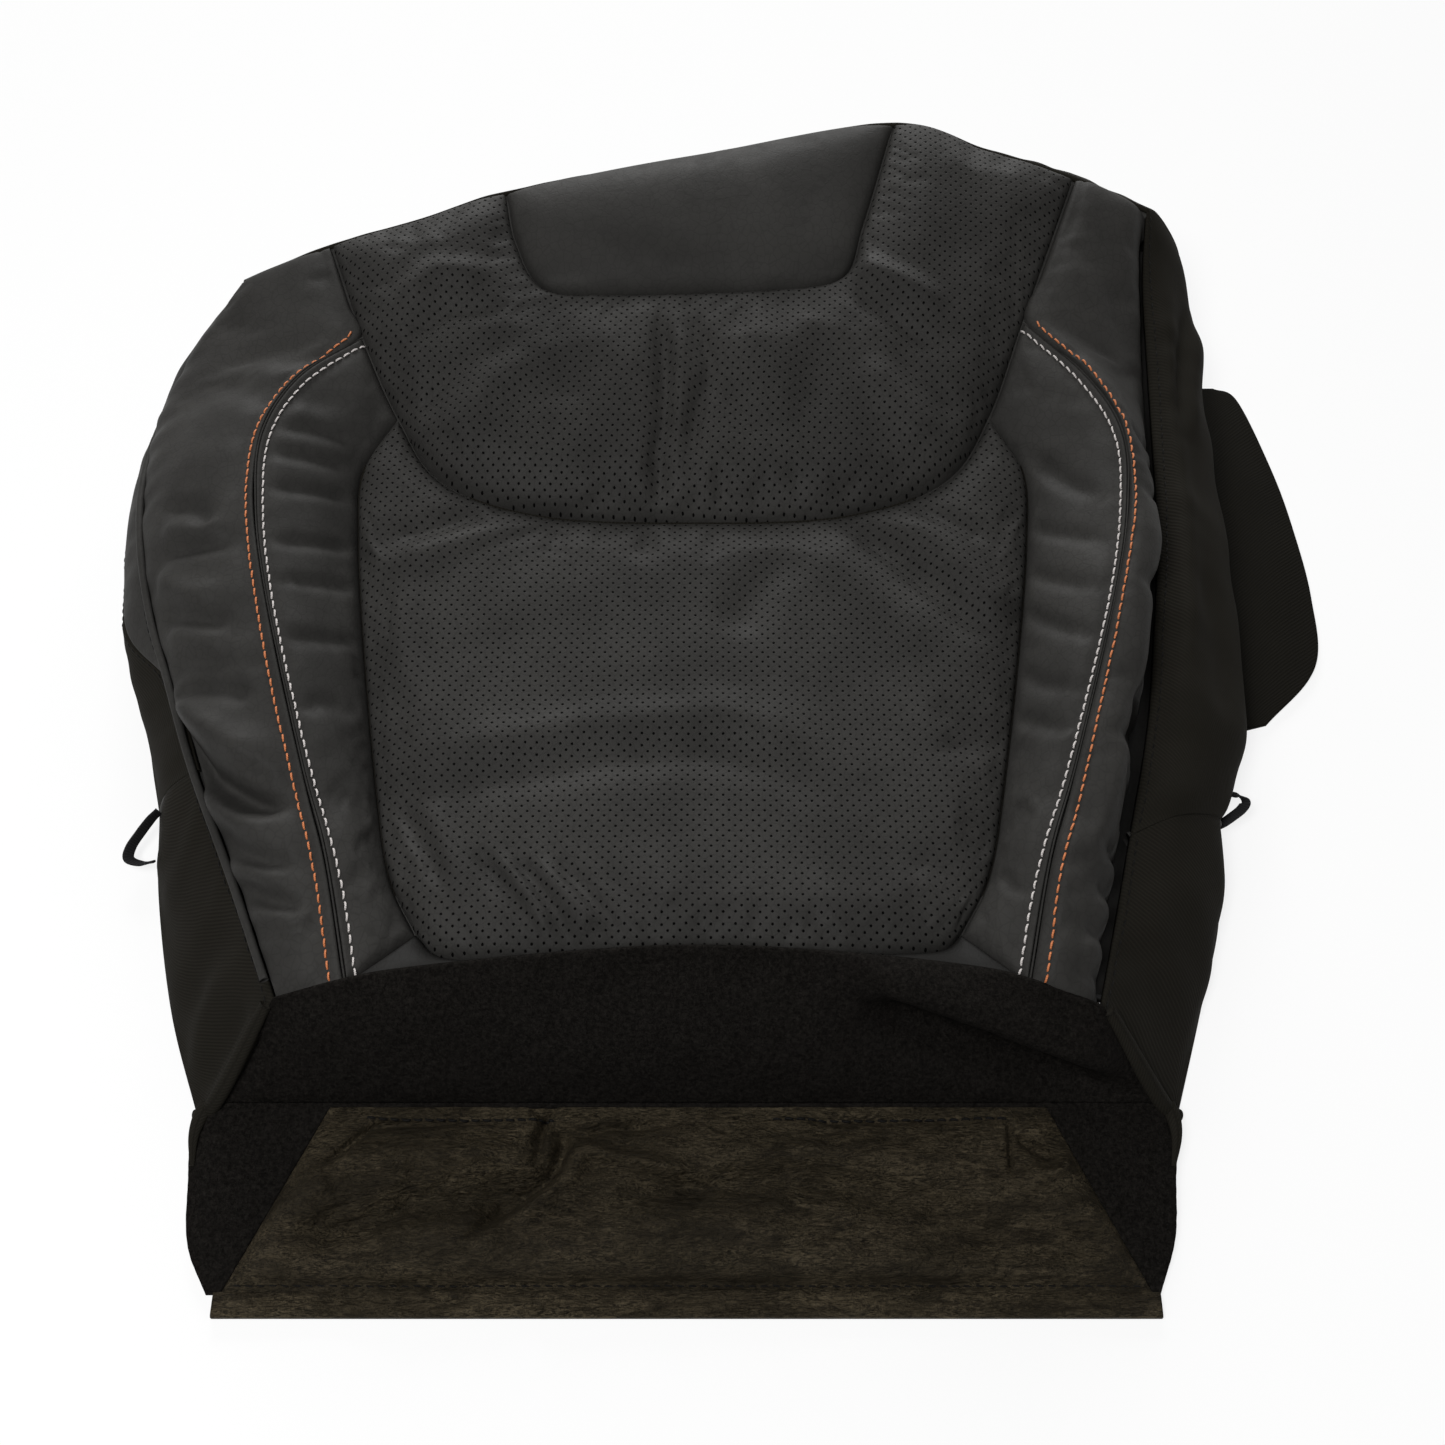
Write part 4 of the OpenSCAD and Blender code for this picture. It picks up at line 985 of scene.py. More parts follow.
def thread(name, colour, sheen):
    """Twisted sewing thread."""
    look = Look(name, specular_ior_level=sheen, roughness=0.55)
    run, turn, _ = look.parts(look.cut())
    twist = (run * (2 * math.pi / (0.7 * MM)) + turn * (2 / MM)).sine() * 0.5 + 0.5
    face = look.blend(twist, tone(colour, 0.62), tone(colour, 1.12))
    return look.finished(face, None, look.bump(twist, 0.00012, 0.6))


def plain(name, colour, roughness, metallic=0.0):
    """Steel or plastic with fine marks."""
    look = Look(name, metallic=metallic)
    marks = look.noise(look.place(), 600, 4.0, 0.6)
    face = look.blend(marks, tone(colour, 0.85), tone(colour, 1.12))
    return look.finished(face, marks * 0.15 + (roughness - 0.07), look.bump(marks, 0.00005, 0.4))


LOOKS = {}
# The finish slot of the pieces that have a look; threads have none
SLOTS = {
    "leather": "smooth_leather", "bridge": "smooth_leather",
    "insert": "perforated_leather", "thigh": "perforated_leather",
    "ribbed": "skirt_fabric", "twill": "skirt_fabric", "flap": "skirt_fabric",
    "felt": "felt", "tail": "tail_nonwoven", "hem": "tail_nonwoven", "tape": "loop_tape",
}


def looks_of(colours):
    """The cover's materials, made once from the colours of the panel."""
    if not LOOKS:
        c = colours
        LOOKS["leather"] = leather("smooth_leather", c.leather)
        for panel_name, turn in (("insert", 0.0), ("thigh", 3.0)):
            name = "perforated_" + panel_name
            LOOKS[panel_name] = leather(name, c.leather, c.hole_radius, c.hole_pitch, turn)
        LOOKS["foam"] = woven("foam_backing", c.backing, 1.6, 0.2, 0.0, 1.0)
        LOOKS["ribbed"] = woven("ribbed_skirt_cloth", c.skirt, 1.5, slant=90.0)
        LOOKS["twill"] = woven("twill_skirt_cloth", c.skirt, 1.3)
        LOOKS["flap"] = woven("side_flap_cloth", c.flap, 1.3)
        LOOKS["felt"] = felted("rear_felt_wool", c.felt)
        LOOKS["tail"] = nonwoven("tail_pressed_cloth", c.tail)
        LOOKS["tape"] = woven("pull_loop_tape", c.tape, 1.1, slant=0.0)
        LOOKS["hem"] = nonwoven("hem_pressed_cloth", tone(c.tail, 1.3))
        # The rear bridge's leather, darkened to 0.4 of the leather's tone: painted shade, which the hollow
        # beside the right skirt takes too
        LOOKS["bridge"] = leather("rear_bridge_leather", tone(c.leather, 0.4))
        for row, sheen in (("orange", 0.3), ("white", 0.3), ("black", 0.05)):
            LOOKS[row] = thread(row + "_thread", getattr(c, row + "_thread"), sheen)
        LOOKS["steel"] = plain("listing_steel", (0.42, 0.42, 0.43), 0.35, 1.0)
        LOOKS["strip"] = plain("hem_strip_plastic", (0.62, 0.61, 0.57), 0.5)
        LOOKS["retainer"] = plain("retainer_plastic", (0.02, 0.02, 0.022), 0.45)
    return LOOKS


# ---- Sizes and colours ----


def length(name, description, default):
    """A length in millimetres for the panel."""
    return FloatProperty(
        name=name, description=description + ", in mm", default=default, min=0.0, soft_max=20.0
    )


def colour(name, description, default):
    """A colour for the panel."""
    return FloatVectorProperty(
        name=name, description=description, default=default, size=3, subtype="COLOR", min=0.0, max=1.0
    )


class CoverSizes(PropertyGroup):
    """Sizes of the cover in millimetres."""

    leather_thickness: length("Leather and foam", "Thickness of the padded leather", 5.0)
    cloth_thickness: length("Skirt cloth", "Thickness of the skirt cloth", 2.0)
    felt_thickness: length("Felt", "Thickness of the rear felt", 3.0)
    tail_thickness: length("Tail cloth", "Thickness of the tail cloth", 1.6)
    insert_crown: length("Insert crown", "How far the seat insert swells", 11.0)
    front_crown: length("Front crown", "How far the thigh and nose panels swell", 9.0)
    inner_crown: length("Inner bolster crown", "How far the inner bolsters swell", 5.0)
    outer_crown: length("Outer bolster crown", "How far the left outer bolster swells", 8.0)
    edge_roll: length("Edge roll", "Distance over which a panel rolls to its seam", 10.0)
    seam_turn: length("Seam turn", "Radius of the leather turned into a seam", 4.0)
    crest_turn: length("Crest turn", "Radius of the leather turned into a crest seam", 1.6)
    piping_width: length("Piping", "Diameter of the piping", 3.6)
    stitch_pitch: length("Stitch pitch", "Distance between two stitches", 4.7)
    thread_width: length("Thread", "Thickness of the seam thread", 0.95)
    outer_row: length("Outer stitch row", "Outer row's distance from a crest seam", 5.0)
    inner_row: length("Inner stitch row", "Inner row's distance from a crest seam", 4.2)
    cloth_pressure: FloatProperty(
        name="Cloth pressure", description="Pressure that fills the padded panels", default=4.0, min=0.0
    )
    spare_cloth: FloatProperty(
        name="Spare cloth", description="Share by which a panel is cut larger than its frame",
        default=0.014, min=0.0, max=0.2, subtype="FACTOR",
    )
    net_step: length("Net step", "Distance between two points on the leather", 2.2)
    seed: IntProperty(name="Seed", description="Seed of the small puckers", default=7)


class CoverColours(PropertyGroup):
    """Colours of the cover's materials, and the holes in the perforated leather."""

    leather: colour("Leather", "Black leather", (0.0275, 0.0266, 0.0250))
    backing: colour("Backing", "Scrim on the leather's foam", (0.06, 0.06, 0.06))
    skirt: colour("Skirt cloth", "Charcoal skirt cloth", (0.0125, 0.0113, 0.0088))
    felt: colour("Felt", "Rear felt", (0.0078, 0.0070, 0.0062))
    tail: colour("Tail cloth", "Brown-black tail cloth", (0.0225, 0.0180, 0.0112))
    flap: colour("Side flap", "Coated cloth of the side flap", (0.0075, 0.0068, 0.0052))
    tape: colour("Tape", "Pull loops", (0.02, 0.02, 0.021))
    orange_thread: colour("Outer thread", "Outer row of the crest seams", (0.58, 0.19, 0.07))
    white_thread: colour("Inner thread", "Inner row of the crest seams", (0.62, 0.58, 0.56))
    black_thread: colour("Plain thread", "Rows on the other seams", (0.0065, 0.0062, 0.0058))
    hole_radius: length("Hole radius", "Radius of the perforation", 0.52)
    hole_pitch: length("Hole pitch", "Spacing of the perforation", 5.0)


# ---- Panels ----

# The nets of the panels made so far, on which the stitch rows are laid
NETS = {}
# Distances from a seam at which the first points of leather and of cloth lie
LEATHER_EDGE = (0, 0.3, 0.8, 1.5, 2.4, 3.6, 5.2)
CLOTH_EDGE = (0, 1.0, 2.2)
CLOTH_ROLL = 14.0
# Least height of a panel's underside over the floor, and least thickness near it
FLOOR_GAP, THINNEST = 0.1, 0.6
# Share of a panel's relief that its underside follows, and share of folds that a cut's area takes up at most
UNDER_SHARE, SPARE_AREA = 0.9, 1.02
SIMULATED_STEP = 5.0


def steps_for(distance, step):
    """How many steps of about that length a distance takes."""
    return max(2, int(round(distance / step)))


def longest(seams):
    """Length of the longest of the seams."""
    return max(run_along(seam.on(np.linspace(0, 1, 41)))[-1] for seam in seams)


def one_side(side, value, others):
    """Values for a panel's four sides, with one of its own for one side."""
    return tuple(value if k == side else others for k in range(4))


def panel(name, patch, looks, body, thick, step, crown, roll, near=LEATHER_EDGE, margins=(0,) * 4,
          radii=(0,) * 4, gaps=(0.1,) * 4, ways=(None,) * 4, reach=5.0,
          folds=(), ripples=(), rough=(), dents=(), added=None, billows=None, spare=1.0):
    """A closed panel on a patch, and its net. ripples, rough, dents and added make the small relief."""
    sizes = bpy.context.scene.cover_sizes
    wide, deep = longest(patch.sides[:2]), longest(patch.sides[2:])
    net = Net(patch, steps_for(wide, step), steps_for(deep, step), near, gaps)
    net.lean(ways, reach)
    net.cut_area, net.cut_size = net.area(), (net.width.max() * MM, net.depth.max() * MM)
    bands = spans(net, margins)
    height = swell(net, crown, roll, margins) + turned(net, radii)
    small = fold_height(folds, net.place)
    for side, seed, high, wave, far in ripples:
        small = small + puckers(net, side, seed + sizes.seed, high, wave, far, bands[side])
    for seed, high, size in rough:
        small = small + high * lumps(net.place, seed + sizes.seed, size)
    edge = 1.0
    for off, band in zip(net.off, bands):
        edge = edge * rising(np.maximum(off - band * 0.6, 0), 3.0)
    height = height + small * edge
    for side, distance in dents:
        height = height + stitch_dent(net, side, distance)
    if added:
        height = height + added(net)
    if billows and sizes.cloth_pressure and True:
        coarse = Net(patch, steps_for(wide, SIMULATED_STEP), steps_for(deep, SIMULATED_STEP), (0,), gaps)
        rise = swell(coarse, crown, roll, margins) + fold_height(folds, coarse.place)
        shift = billow(name, coarse, rise, sizes.cloth_pressure, sizes.spare_cloth * spare, billows)
        share = net.off[0] / net.width, net.off[2] / net.depth
        net.place = net.place + sample(shift, *share) * edge[..., None]
    under = net.place + net.facing * (height * UNDER_SHARE - thick)[..., None]
    under[..., 2] = np.maximum(under[..., 2], FLOOR_GAP)
    net.place = net.place + net.facing * height[..., None]
    net.place[..., 2] = np.maximum(net.place[..., 2], under[..., 2] + THINNEST)
    NETS[name] = net
    made = "_leather" if SLOTS[looks[0]].endswith("leather") else "_cloth"
    return shell(name + made, net, under, looks, body, (name,)), net


def leather_panel(name, patch, look, **relief):
    """A padded leather panel on its foam."""
    sizes = bpy.context.scene.cover_sizes
    relief = {"roll": sizes.edge_roll, "radii": (sizes.seam_turn,) * 4, "ways": (UP,) * 4, **relief}
    piece, _ = panel(
        name, patch, (look, "foam"), "cover", sizes.leather_thickness, sizes.net_step, **relief
    )


def cloth_panel(name, patch, look, thick, held, rests_on, body="cover", **relief):
    """A sheet of cloth between its seams; the size of its cut is worked out and not used."""
    relief = {"near": CLOTH_EDGE, "roll": CLOTH_ROLL, **relief}
    piece, net = panel(name, patch, (look,), body, thick, **relief)
    taken_up = net.area() / net.cut_area
    wide, deep = (side * math.sqrt(taken_up) for side in net.cut_size)
    area = min(wide * deep, net.area() * SPARE_AREA)
    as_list(rests_on)


class COVER_OT_seat_insert(Operator):
    """Add the perforated seat insert between its four seams"""

    bl_idname = "cover.seat_insert"
    bl_label = "Seat insert"

    def execute(self, context):
        insert = Patch(INSERT_REAR, Seam(THIGH_SEAM, 2, 8), INSERT_LEFT, INSERT_RIGHT)
        leather_panel(
            "seat_insert", insert, "insert", crown=context.scene.cover_sizes.insert_crown,
            folds=INSERT_FOLDS, billows=1.6, spare=0.35, rough=[(15, 0.28, 34)],
            ripples=[(0, 11, 0.35, 26, 12), (1, 12, 0.35, 26, 12), (2, 13, 0.55, 17, 16), (3, 14, 0.5, 20, 12)],
        )
        return {"FINISHED"}


class COVER_OT_front_panels(Operator):
    """Add the perforated thigh panel and the smooth nose panel in front of it"""

    bl_idname = "cover.front_panels"
    bl_label = "Thigh and nose panels"

    def execute(self, context):
        crown = context.scene.cover_sizes.front_crown
        thigh = Patch(THIGH_SEAM, NOSE_SEAM, Seam(FRONT_EDGE, 1, 3), Seam(FRONT_EDGE, 7, 5))
        leather_panel(
            "thigh_panel", thigh, "thigh", crown=crown, folds=THIGH_FOLDS, billows=2.0, spare=0.6,
            ripples=[(2, 21, 0.5, 22, 10), (3, 22, 0.4, 18, 8)], rough=[(25, 0.3, 40)],
        )
        left, right = Seam(NOSE_SEAM, 2, 0), Seam(NOSE_SEAM, 5, 7)
        nose = Patch(Seam(NOSE_SEAM, 2, 5), Seam(FRONT_EDGE, 3, 5), left, right)
        leather_panel(
            "nose_panel", nose, "leather", crown=crown, ways=(UP, UP, UP, FRONT_WAY), billows=1.0, spare=0.0,
            ripples=[(2, 23, 0.2, 24, 8)], rough=[(26, 0.3, 60)],
        )
        return {"FINISHED"}


class COVER_OT_inner_bolsters(Operator):
    """Add the bolsters between the insert and the crest seams"""

    bl_idname = "cover.inner_bolsters"
    bl_label = "Inner bolsters"

    def execute(self, context):
        sizes = context.scene.cover_sizes
        left = Patch([CREST_LEFT[0], INSERT_LEFT[0]], Seam(THIGH_SEAM, 1, 2), CREST_LEFT, INSERT_LEFT)
        right = Patch([INSERT_RIGHT[0], CREST_RIGHT[0]], Seam(THIGH_SEAM, 8, 9), INSERT_RIGHT, CREST_RIGHT)
        sides = (("left", left, INNER_LEFT_FOLDS), ("right", right, INNER_RIGHT_FOLDS))
        for crest, (side, patch, folds) in enumerate(sides):
            seed = 31 + 2 * crest
            leather_panel(
                "inner_bolster_" + side, patch, "leather", crown=sizes.inner_crown,
                margins=one_side(crest, beside(6.5, 1.05), 0),
                radii=one_side(crest, sizes.crest_turn, sizes.seam_turn), gaps=one_side(crest, 1.0, 0.1),
                folds=folds, billows=1.2, spare=0.6, dents=[(crest, sizes.inner_row)],
                ripples=[(crest, seed, 0.4, 15, 9), (1 - crest, seed + 1, 0.35, 18, 8)],
                rough=[(35 + crest, 0.22, 30)],
            )
        return {"FINISHED"}


def dived(net):
    """Drop of the right bolster's outer edge, which dives under the skirt's edge."""
    y = net.place[..., 1]
    share = np.clip((310 - y) / 160, 0.2, 1) * np.clip((y + 45) / 50, 0.3, 1)
    return -8.0 * share * np.exp(-((net.off[1] / 7.5) ** 2))


class COVER_OT_outer_bolsters(Operator):
    """Add the bolsters outside the crest seams"""

    bl_idname = "cover.outer_bolsters"
    bl_label = "Outer bolsters"

    def execute(self, context):
        sizes = context.scene.cover_sizes
        turn, row = sizes.seam_turn, sizes.outer_row
        crest = chain(Seam(CREST_LEFT), Seam(THIGH_SEAM, 1, 0))
        left = Patch(Seam(RIDGE, 0, 1), Seam(FRONT_EDGE, 0, 1), Seam(OUTER_SHOWN, 9, 0), crest)
        leather_panel(
            "outer_bolster_left", left, "leather", crown=sizes.outer_crown,
            margins=one_side(1, beside(7.0, 0.85), 0), radii=(turn, sizes.crest_turn, 0, turn),
            gaps=(0.3, 1.0, 0.1, 0.1), ways=(LEFT_WAY, UP, REAR_WAY, FRONT_WAY),
            folds=OUTER_LEFT_FOLDS, billows=1.6, spare=0.5, dents=[(1, row)],
            ripples=[(0, 41, 0.9, 16, 10), (1, 42, 0.5, 17, 9)], rough=[(45, 0.4, 30)],
        )
        crest = chain(Seam(CREST_RIGHT), Seam(THIGH_SEAM, 9, 10))
        right = Patch(Seam(RIDGE, 7, 8), Seam(FRONT_EDGE, 7, 8), crest, Seam(VALLEY, 9, 0))
        leather_panel(
            "outer_bolster_right", right, "leather", crown=sizes.outer_crown * 0.8, roll=4.5,
            radii=(sizes.crest_turn, 2 * turn, 0, turn), gaps=one_side(0, 1.0, 0.1),
            ways=(UP, RIGHT_WAY, REAR_WAY, FRONT_WAY), reach=11.0,
            folds=OUTER_RIGHT_FOLDS, billows=1.2, spare=0.6, dents=[(0, row)],
            ripples=[(0, 43, 0.5, 15, 9), (1, 44, 0.9, 15, 9)], rough=[(46, 0.35, 26)], added=dived,
        )
        return {"FINISHED"}


class COVER_OT_edge_panels(Operator):
    """Add the rear bridge, the side panel and the piping over it"""

    bl_idname = "cover.edge_panels"
    bl_label = "Rear bridge, side panel and piping"

    def execute(self, context):
        sizes = context.scene.cover_sizes
        turn = 1.4
        ends = [CREST_LEFT[0], INSERT_LEFT[0]], [CREST_RIGHT[0], INSERT_RIGHT[0]]
        # The rear bridge takes the darkened leather: painted shade on it
        cloth_panel(
            "rear_bridge", Patch(Seam(RIDGE, 1, 7), INSERT_REAR, *ends), "bridge", sizes.cloth_thickness,
            "stretched", ["seat_insert_leather"], step=2.4, crown=1.0, roll=6.0,
            radii=(turn, turn, 0, turn), ways=(UP, UP, REAR_WAY, UP), ripples=[(2, 51, 0.35, 14, 6)],
        )
        side = Patch(Seam(OUTER_SHOWN, 6, 0), SIDE_LOW, [OUTER_LEFT[6], SIDE_LOW[0]], Seam(CORNER_LEFT, 0, 1))
        cloth_panel(
            "side_panel_left", side, "leather", sizes.cloth_thickness,
            "stretched", ["outer_bolster_left_leather"], step=2.4, crown=3.0, roll=12.0, radii=(turn,) * 4,
            gaps=one_side(2, 1.0, 0.1), ways=(LEFT_WAY, LEFT_OUT, LEFT_WAY, LEFT_OUT),
            ripples=[(2, 52, 0.5, 20, 10)], rough=[(53, 0.3, 30)],
        )
        # The piping lies out and down at the front, and comes in and up on its way to the rear
        share = np.linspace(0.02, 0.98, 220)
        lift = np.clip((share * 9 - 2.4) / 1.2, 0, 1)[:, None]
        shift = mix(np.array([1.5, 0, -2.0]), np.array([-0.8, 0, 0.6]), lift)
        path = Seam(OUTER_SHOWN, 0, 9).on(share) + shift
        dice = np.random.default_rng(sizes.seed)
        girth = 1 + 0.02 * np.convolve(dice.normal(size=len(path)), np.ones(7) / 3, "same")
        section = ring(sizes.piping_width, sizes.piping_width, 14)
        sweep("piping_left_roll", path, section, "leather", nodes=("piping_left",), sizes=girth)
        return {"FINISHED"}


class COVER_OT_seam_allowances(Operator):
    """Add the turned-in edges below the seams, which show as a thin bead in the crest seams"""

    bl_idname = "cover.seam_allowances"
    bl_label = "Seam allowances"

    def execute(self, context):
        depth, lowest = 7.0, 3.8
        for name, seam, width, shift in (
            ("crest_left", Seam(CREST_LEFT), 1.3, (0, 0, -1.2)),
            ("crest_right", Seam(CREST_RIGHT), 1.3, (0, 0, -1.2)),
            ("crest_left_base", Seam(CREST_LEFT), 6, (0, 0, -4.6)),
            ("crest_right_base", Seam(CREST_RIGHT), 6, (0, 0, -4.6)),
            ("insert_left", Seam(INSERT_LEFT), 3, (0, 0, -2.2)),
            ("insert_right", Seam(INSERT_RIGHT), 3, (0, 0, -2.2)),
            ("insert_rear", Seam(INSERT_REAR), 3, (0, 0, -2.2)),
            ("thigh", Seam(THIGH_SEAM), 3, (0, 0, -2.2)),
            ("nose", Seam(NOSE_SEAM), 3, (0, 0, -2.2)),
            ("front", Seam(FRONT_EDGE), 3.6, (0, -1.9, -2.4)),
            ("ridge", Seam(RIDGE), 3, (0, 0, -4.6)),
            ("outer_left", Seam(OUTER_SHOWN), 7, (2.4, 0, -2.6)),
            ("valley", Seam(VALLEY, 0.4, 8.7), 17, (-5.5, 0, -8.0)),
            ("side_low", Seam(SKIRT_TOP_LEFT), 4.6, (2.4, 0, -1.8)),
            ("joint_left", Seam(JOINT_LEFT, 0, 1.94), 5, (1.2, 0, -1.6)),
            ("joint_right", Seam(JOINT_RIGHT, 0, 2.91), 5, (-1.2, 0, -1.6)),
        ):
            path = seam.on(np.linspace(0, 1, 160)) + np.array(shift) - np.array([0, 0, depth / 2])
            path[:, 2] = np.maximum(path[:, 2], lowest)
            # The hollow beside the right skirt takes the rear bridge's darkened leather: painted shade in the
            # hollow
            look = "bridge" if name == "valley" else "leather"
            sweep("allowance_" + name, path, ring(width, depth, 12, 2.6), look)
        for side, line, inwards in (("left", REAR_LEFT, 1.0), ("right", REAR_RIGHT, -1.0)):
            path = Seam(line).on(np.linspace(0.02, 0.93, 60)) + np.array([-2.2 * inwards, 0.6, 1.2])
            girth = 0.55 + 0.45 * np.sin(np.linspace(0.3, 2.9, 60))
            sweep("lip_" + side, path, ring(7.5, 5.0, 20), "twill", sizes=girth)
        return {"FINISHED"}


class COVER_OT_skirts(Operator):
    """Add the cloth skirts, from the front round to the rear corners"""

    bl_idname = "cover.skirts"
    bl_label = "Skirts"

    def execute(self, context):
        sizes = context.scene.cover_sizes
        top_left, top_right = Seam(OUTER_LEFT, 9, 7), Seam(VALLEY, 0, 7)
        bolster_left, bolster_right = ["outer_bolster_left_leather"], ["outer_bolster_right_leather"]
        skirts = [
            ("front_skirt", Patch(FRONT_EDGE, FOOT_FRONT, CORNER_LEFT, CORNER_RIGHT), "ribbed",
             ["nose_panel_leather", "thigh_panel_leather"],
             {"crown": 2.0, "ways": (None, None, FRONT_WAY, None)}),
            ("skirt_left_upper", Patch(SKIRT_TOP_LEFT, FOOT_LEFT_UPPER, JOINT_LEFT, Seam(CORNER_LEFT, 1, 2)),
             "ribbed", ["side_panel_left_leather"], {"crown": 2.0, "ways": (LEFT_OUT, None, LEFT_OUT, None)}),
            ("skirt_left_lower", Patch(top_left, FOOT_LEFT_LOWER, REAR_LEFT, JOINT_LEFT), "twill", bolster_left,
             {"crown": 3.0, "ways": (None, LEFT_OUT, LEFT_WAY, None), "folds": LIP_FOLDS,
              "gaps": one_side(2, 0.9, 0.1)}),
            ("skirt_right_upper", Patch(top_right, FOOT_RIGHT_UPPER, CORNER_RIGHT, JOINT_RIGHT), "twill",
             bolster_right,
             {"crown": 5.0, "ways": (None, RIGHT_OUT, RIGHT_WAY, None), "folds": RIGHT_SKIRT_FOLDS}),
            ("skirt_right_lower", Patch(Seam(VALLEY, 7, 9), FOOT_RIGHT_LOWER, JOINT_RIGHT, REAR_RIGHT), "twill",
             bolster_right, {"crown": 3.0, "ways": (RIGHT_OUT, None, RIGHT_WAY, None)}),
        ]
        for number, (name, patch, look, hangs_from, relief) in enumerate(skirts):
            cloth_panel(
                name, patch, look, sizes.cloth_thickness, "hung", hangs_from, step=3.0,
                radii=one_side(2, 1.0, 0), rough=[(81 + number, 0.6, 38)],
                ripples=[(2, 61 + number, 0.8, 24, 14), (3, 71 + number, 0.7, 40, 25)], **relief,
            )
        return {"FINISHED"}


def crumpled(net):
    """Small creases of the tail flap, which stays low beside the fold to leave room for it."""
    turn = math.radians(35)
    way = np.array([[math.cos(turn), math.sin(turn)], [-math.sin(turn), math.cos(turn)]])
    spot = net.place.copy()
    spot[..., :2] = (spot[..., :2] @ way.T) * np.array([0.62, 1.35])
    fade = rising(np.minimum.reduce(net.off), 3.0)
    small = 3.0 * creases(spot, 96, 21.0) + 0.9 * creases(spot, 97, 6.5)
    off = net.off[3]
    room = TAIL_CROWN * np.exp(-off / 16.0)
    for edge in (net.off[0], net.off[1], off):
        room = room * rising(edge, 7.0)
    return (small - 0.5) * fade * (1 - 0.6 * np.exp(-off / 12.0)) - room


def straight_ended(left, right, *over):
    """Patch between two seams with straight ends; its front end runs through the points over."""
    return Patch([left[0], right[0]], [left[-1], *over, right[-1]], left, right)


class COVER_OT_rear_and_tail(Operator):
    """Add the rear felt, the tail flap with its wings, and the hem"""

    bl_idname = "cover.rear_and_tail"
    bl_label = "Rear felt and tail"

    def execute(self, context):
        sizes = context.scene.cover_sizes
        # The felt's top edge lies on the ridge, and its sides on the rear corners' lines up to there
        over = [(x, y + 1.4, z + 2.8) for x, y, z in RIDGE]
        share = np.linspace(0, 1, 7)
        ends = []
        for line, top in ((REAR_LEFT, over[0]), (REAR_RIGHT, over[-1])):
            side = Seam(line, 1, 0).on(share)
            low, high = np.array([0, -0.1, 0.1]), np.array(top) - side[-1]
            ends.append(side + mix(low, high, share[:, None]))
        cloth_panel(
            "rear_felt", Patch([ends[0][0], ends[1][0]], over, *ends), "felt", sizes.felt_thickness,
            "hung", ["rear_bridge_leather"], step=2.2, crown=4.0, gaps=one_side(2, 0, 0.1),
            radii=one_side(3, 1.2, 0), ways=one_side(3, REAR_WAY, None), folds=FELT_FOLDS,
            ripples=[(3, 91, 0.4, 22, 12)], rough=[(92, 0.7, 30), (93, 0.35, 12)],
            added=lambda net: 0.22 * lumps(net.place, 94, 3.2),
        )
        for side, lip in (("left", LIP_END_LEFT), ("right", LIP_END_RIGHT)):
            share = np.linspace(0, 1, 40)
            girth = 1.0 - 0.75 * share**1.5
            sweep("lip_end_" + side, Seam(lip).on(share), ring(7.0, 4.0, 20), "twill", "tail", sizes=girth)
        path = np.linspace((-194, *FOLD_LINE), (194, *FOLD_LINE), 194)
        sweep("tail_binding_roll", path, ring(3, 3, 16), "felt", "tail", ("tail_binding",), slot=SLOTS["tail"])
        flap = {"step": 1.3, "crown": TAIL_CROWN, "roll": 7.0, "folds": TAIL_FOLDS, "added": crumpled}
        wing = {"step": 2.0, "crown": 0.4, "added": lambda net: 0.2 * lumps(net.place, 95, 3.2)}
        for name, patch, look, relief in (
            ("tail_flap", straight_ended(FLAP_LEFT, FLAP_RIGHT), "tail", flap),
            ("tail_wing_left", straight_ended(WING_LEFT, FLAP_LEFT, (-188, -52.4, 11.3)), "felt", wing),
            ("tail_wing_right", straight_ended(FLAP_RIGHT, WING_RIGHT, (188, -52.4, 11.3)), "felt", wing),
        ):
            cloth_panel(
                name, patch, look, sizes.tail_thickness, "laid", ["tail_binding_roll"], "tail",
                gaps=one_side(3, 0.2, 0.1), **relief,
            )
        path = np.linspace((-186, *HEM_LINE), (186, *HEM_LINE), 150)
        outer, hole = ring(10, 4, 24, 5), ring(8, 2, 24, 5)
        sweep("tail_hem_cloth", path, outer, "hem", "tail", ("tail_hem",), hole=hole)
        return {"FINISHED"}


class COVER_OT_side_flap(Operator):
    """Add the flap outside the right skirt and its bound edge"""

    bl_idname = "cover.side_flap"
    bl_label = "Side flap"

    def execute(self, context):
        path = np.linspace((252.3, 133, 1.5), (252.3, 331, 1.5), 120)
        sweep(
            "side_flap_binding_roll", path, ring(3.4, 2.8, 14), "twill", "side_flap", ("side_flap_binding",)
        )
        cloth_panel(
            "side_flap_right", straight_ended(SIDE_FLAP_ROOT, SIDE_FLAP_TIP), "flap", SIDE_FLAP_THICKNESS,
            "laid", ["side_flap_binding_roll"], "side_flap", step=2.0, crown=0.6, folds=SIDE_FLAP_FOLDS,
        )
        return {"FINISHED"}


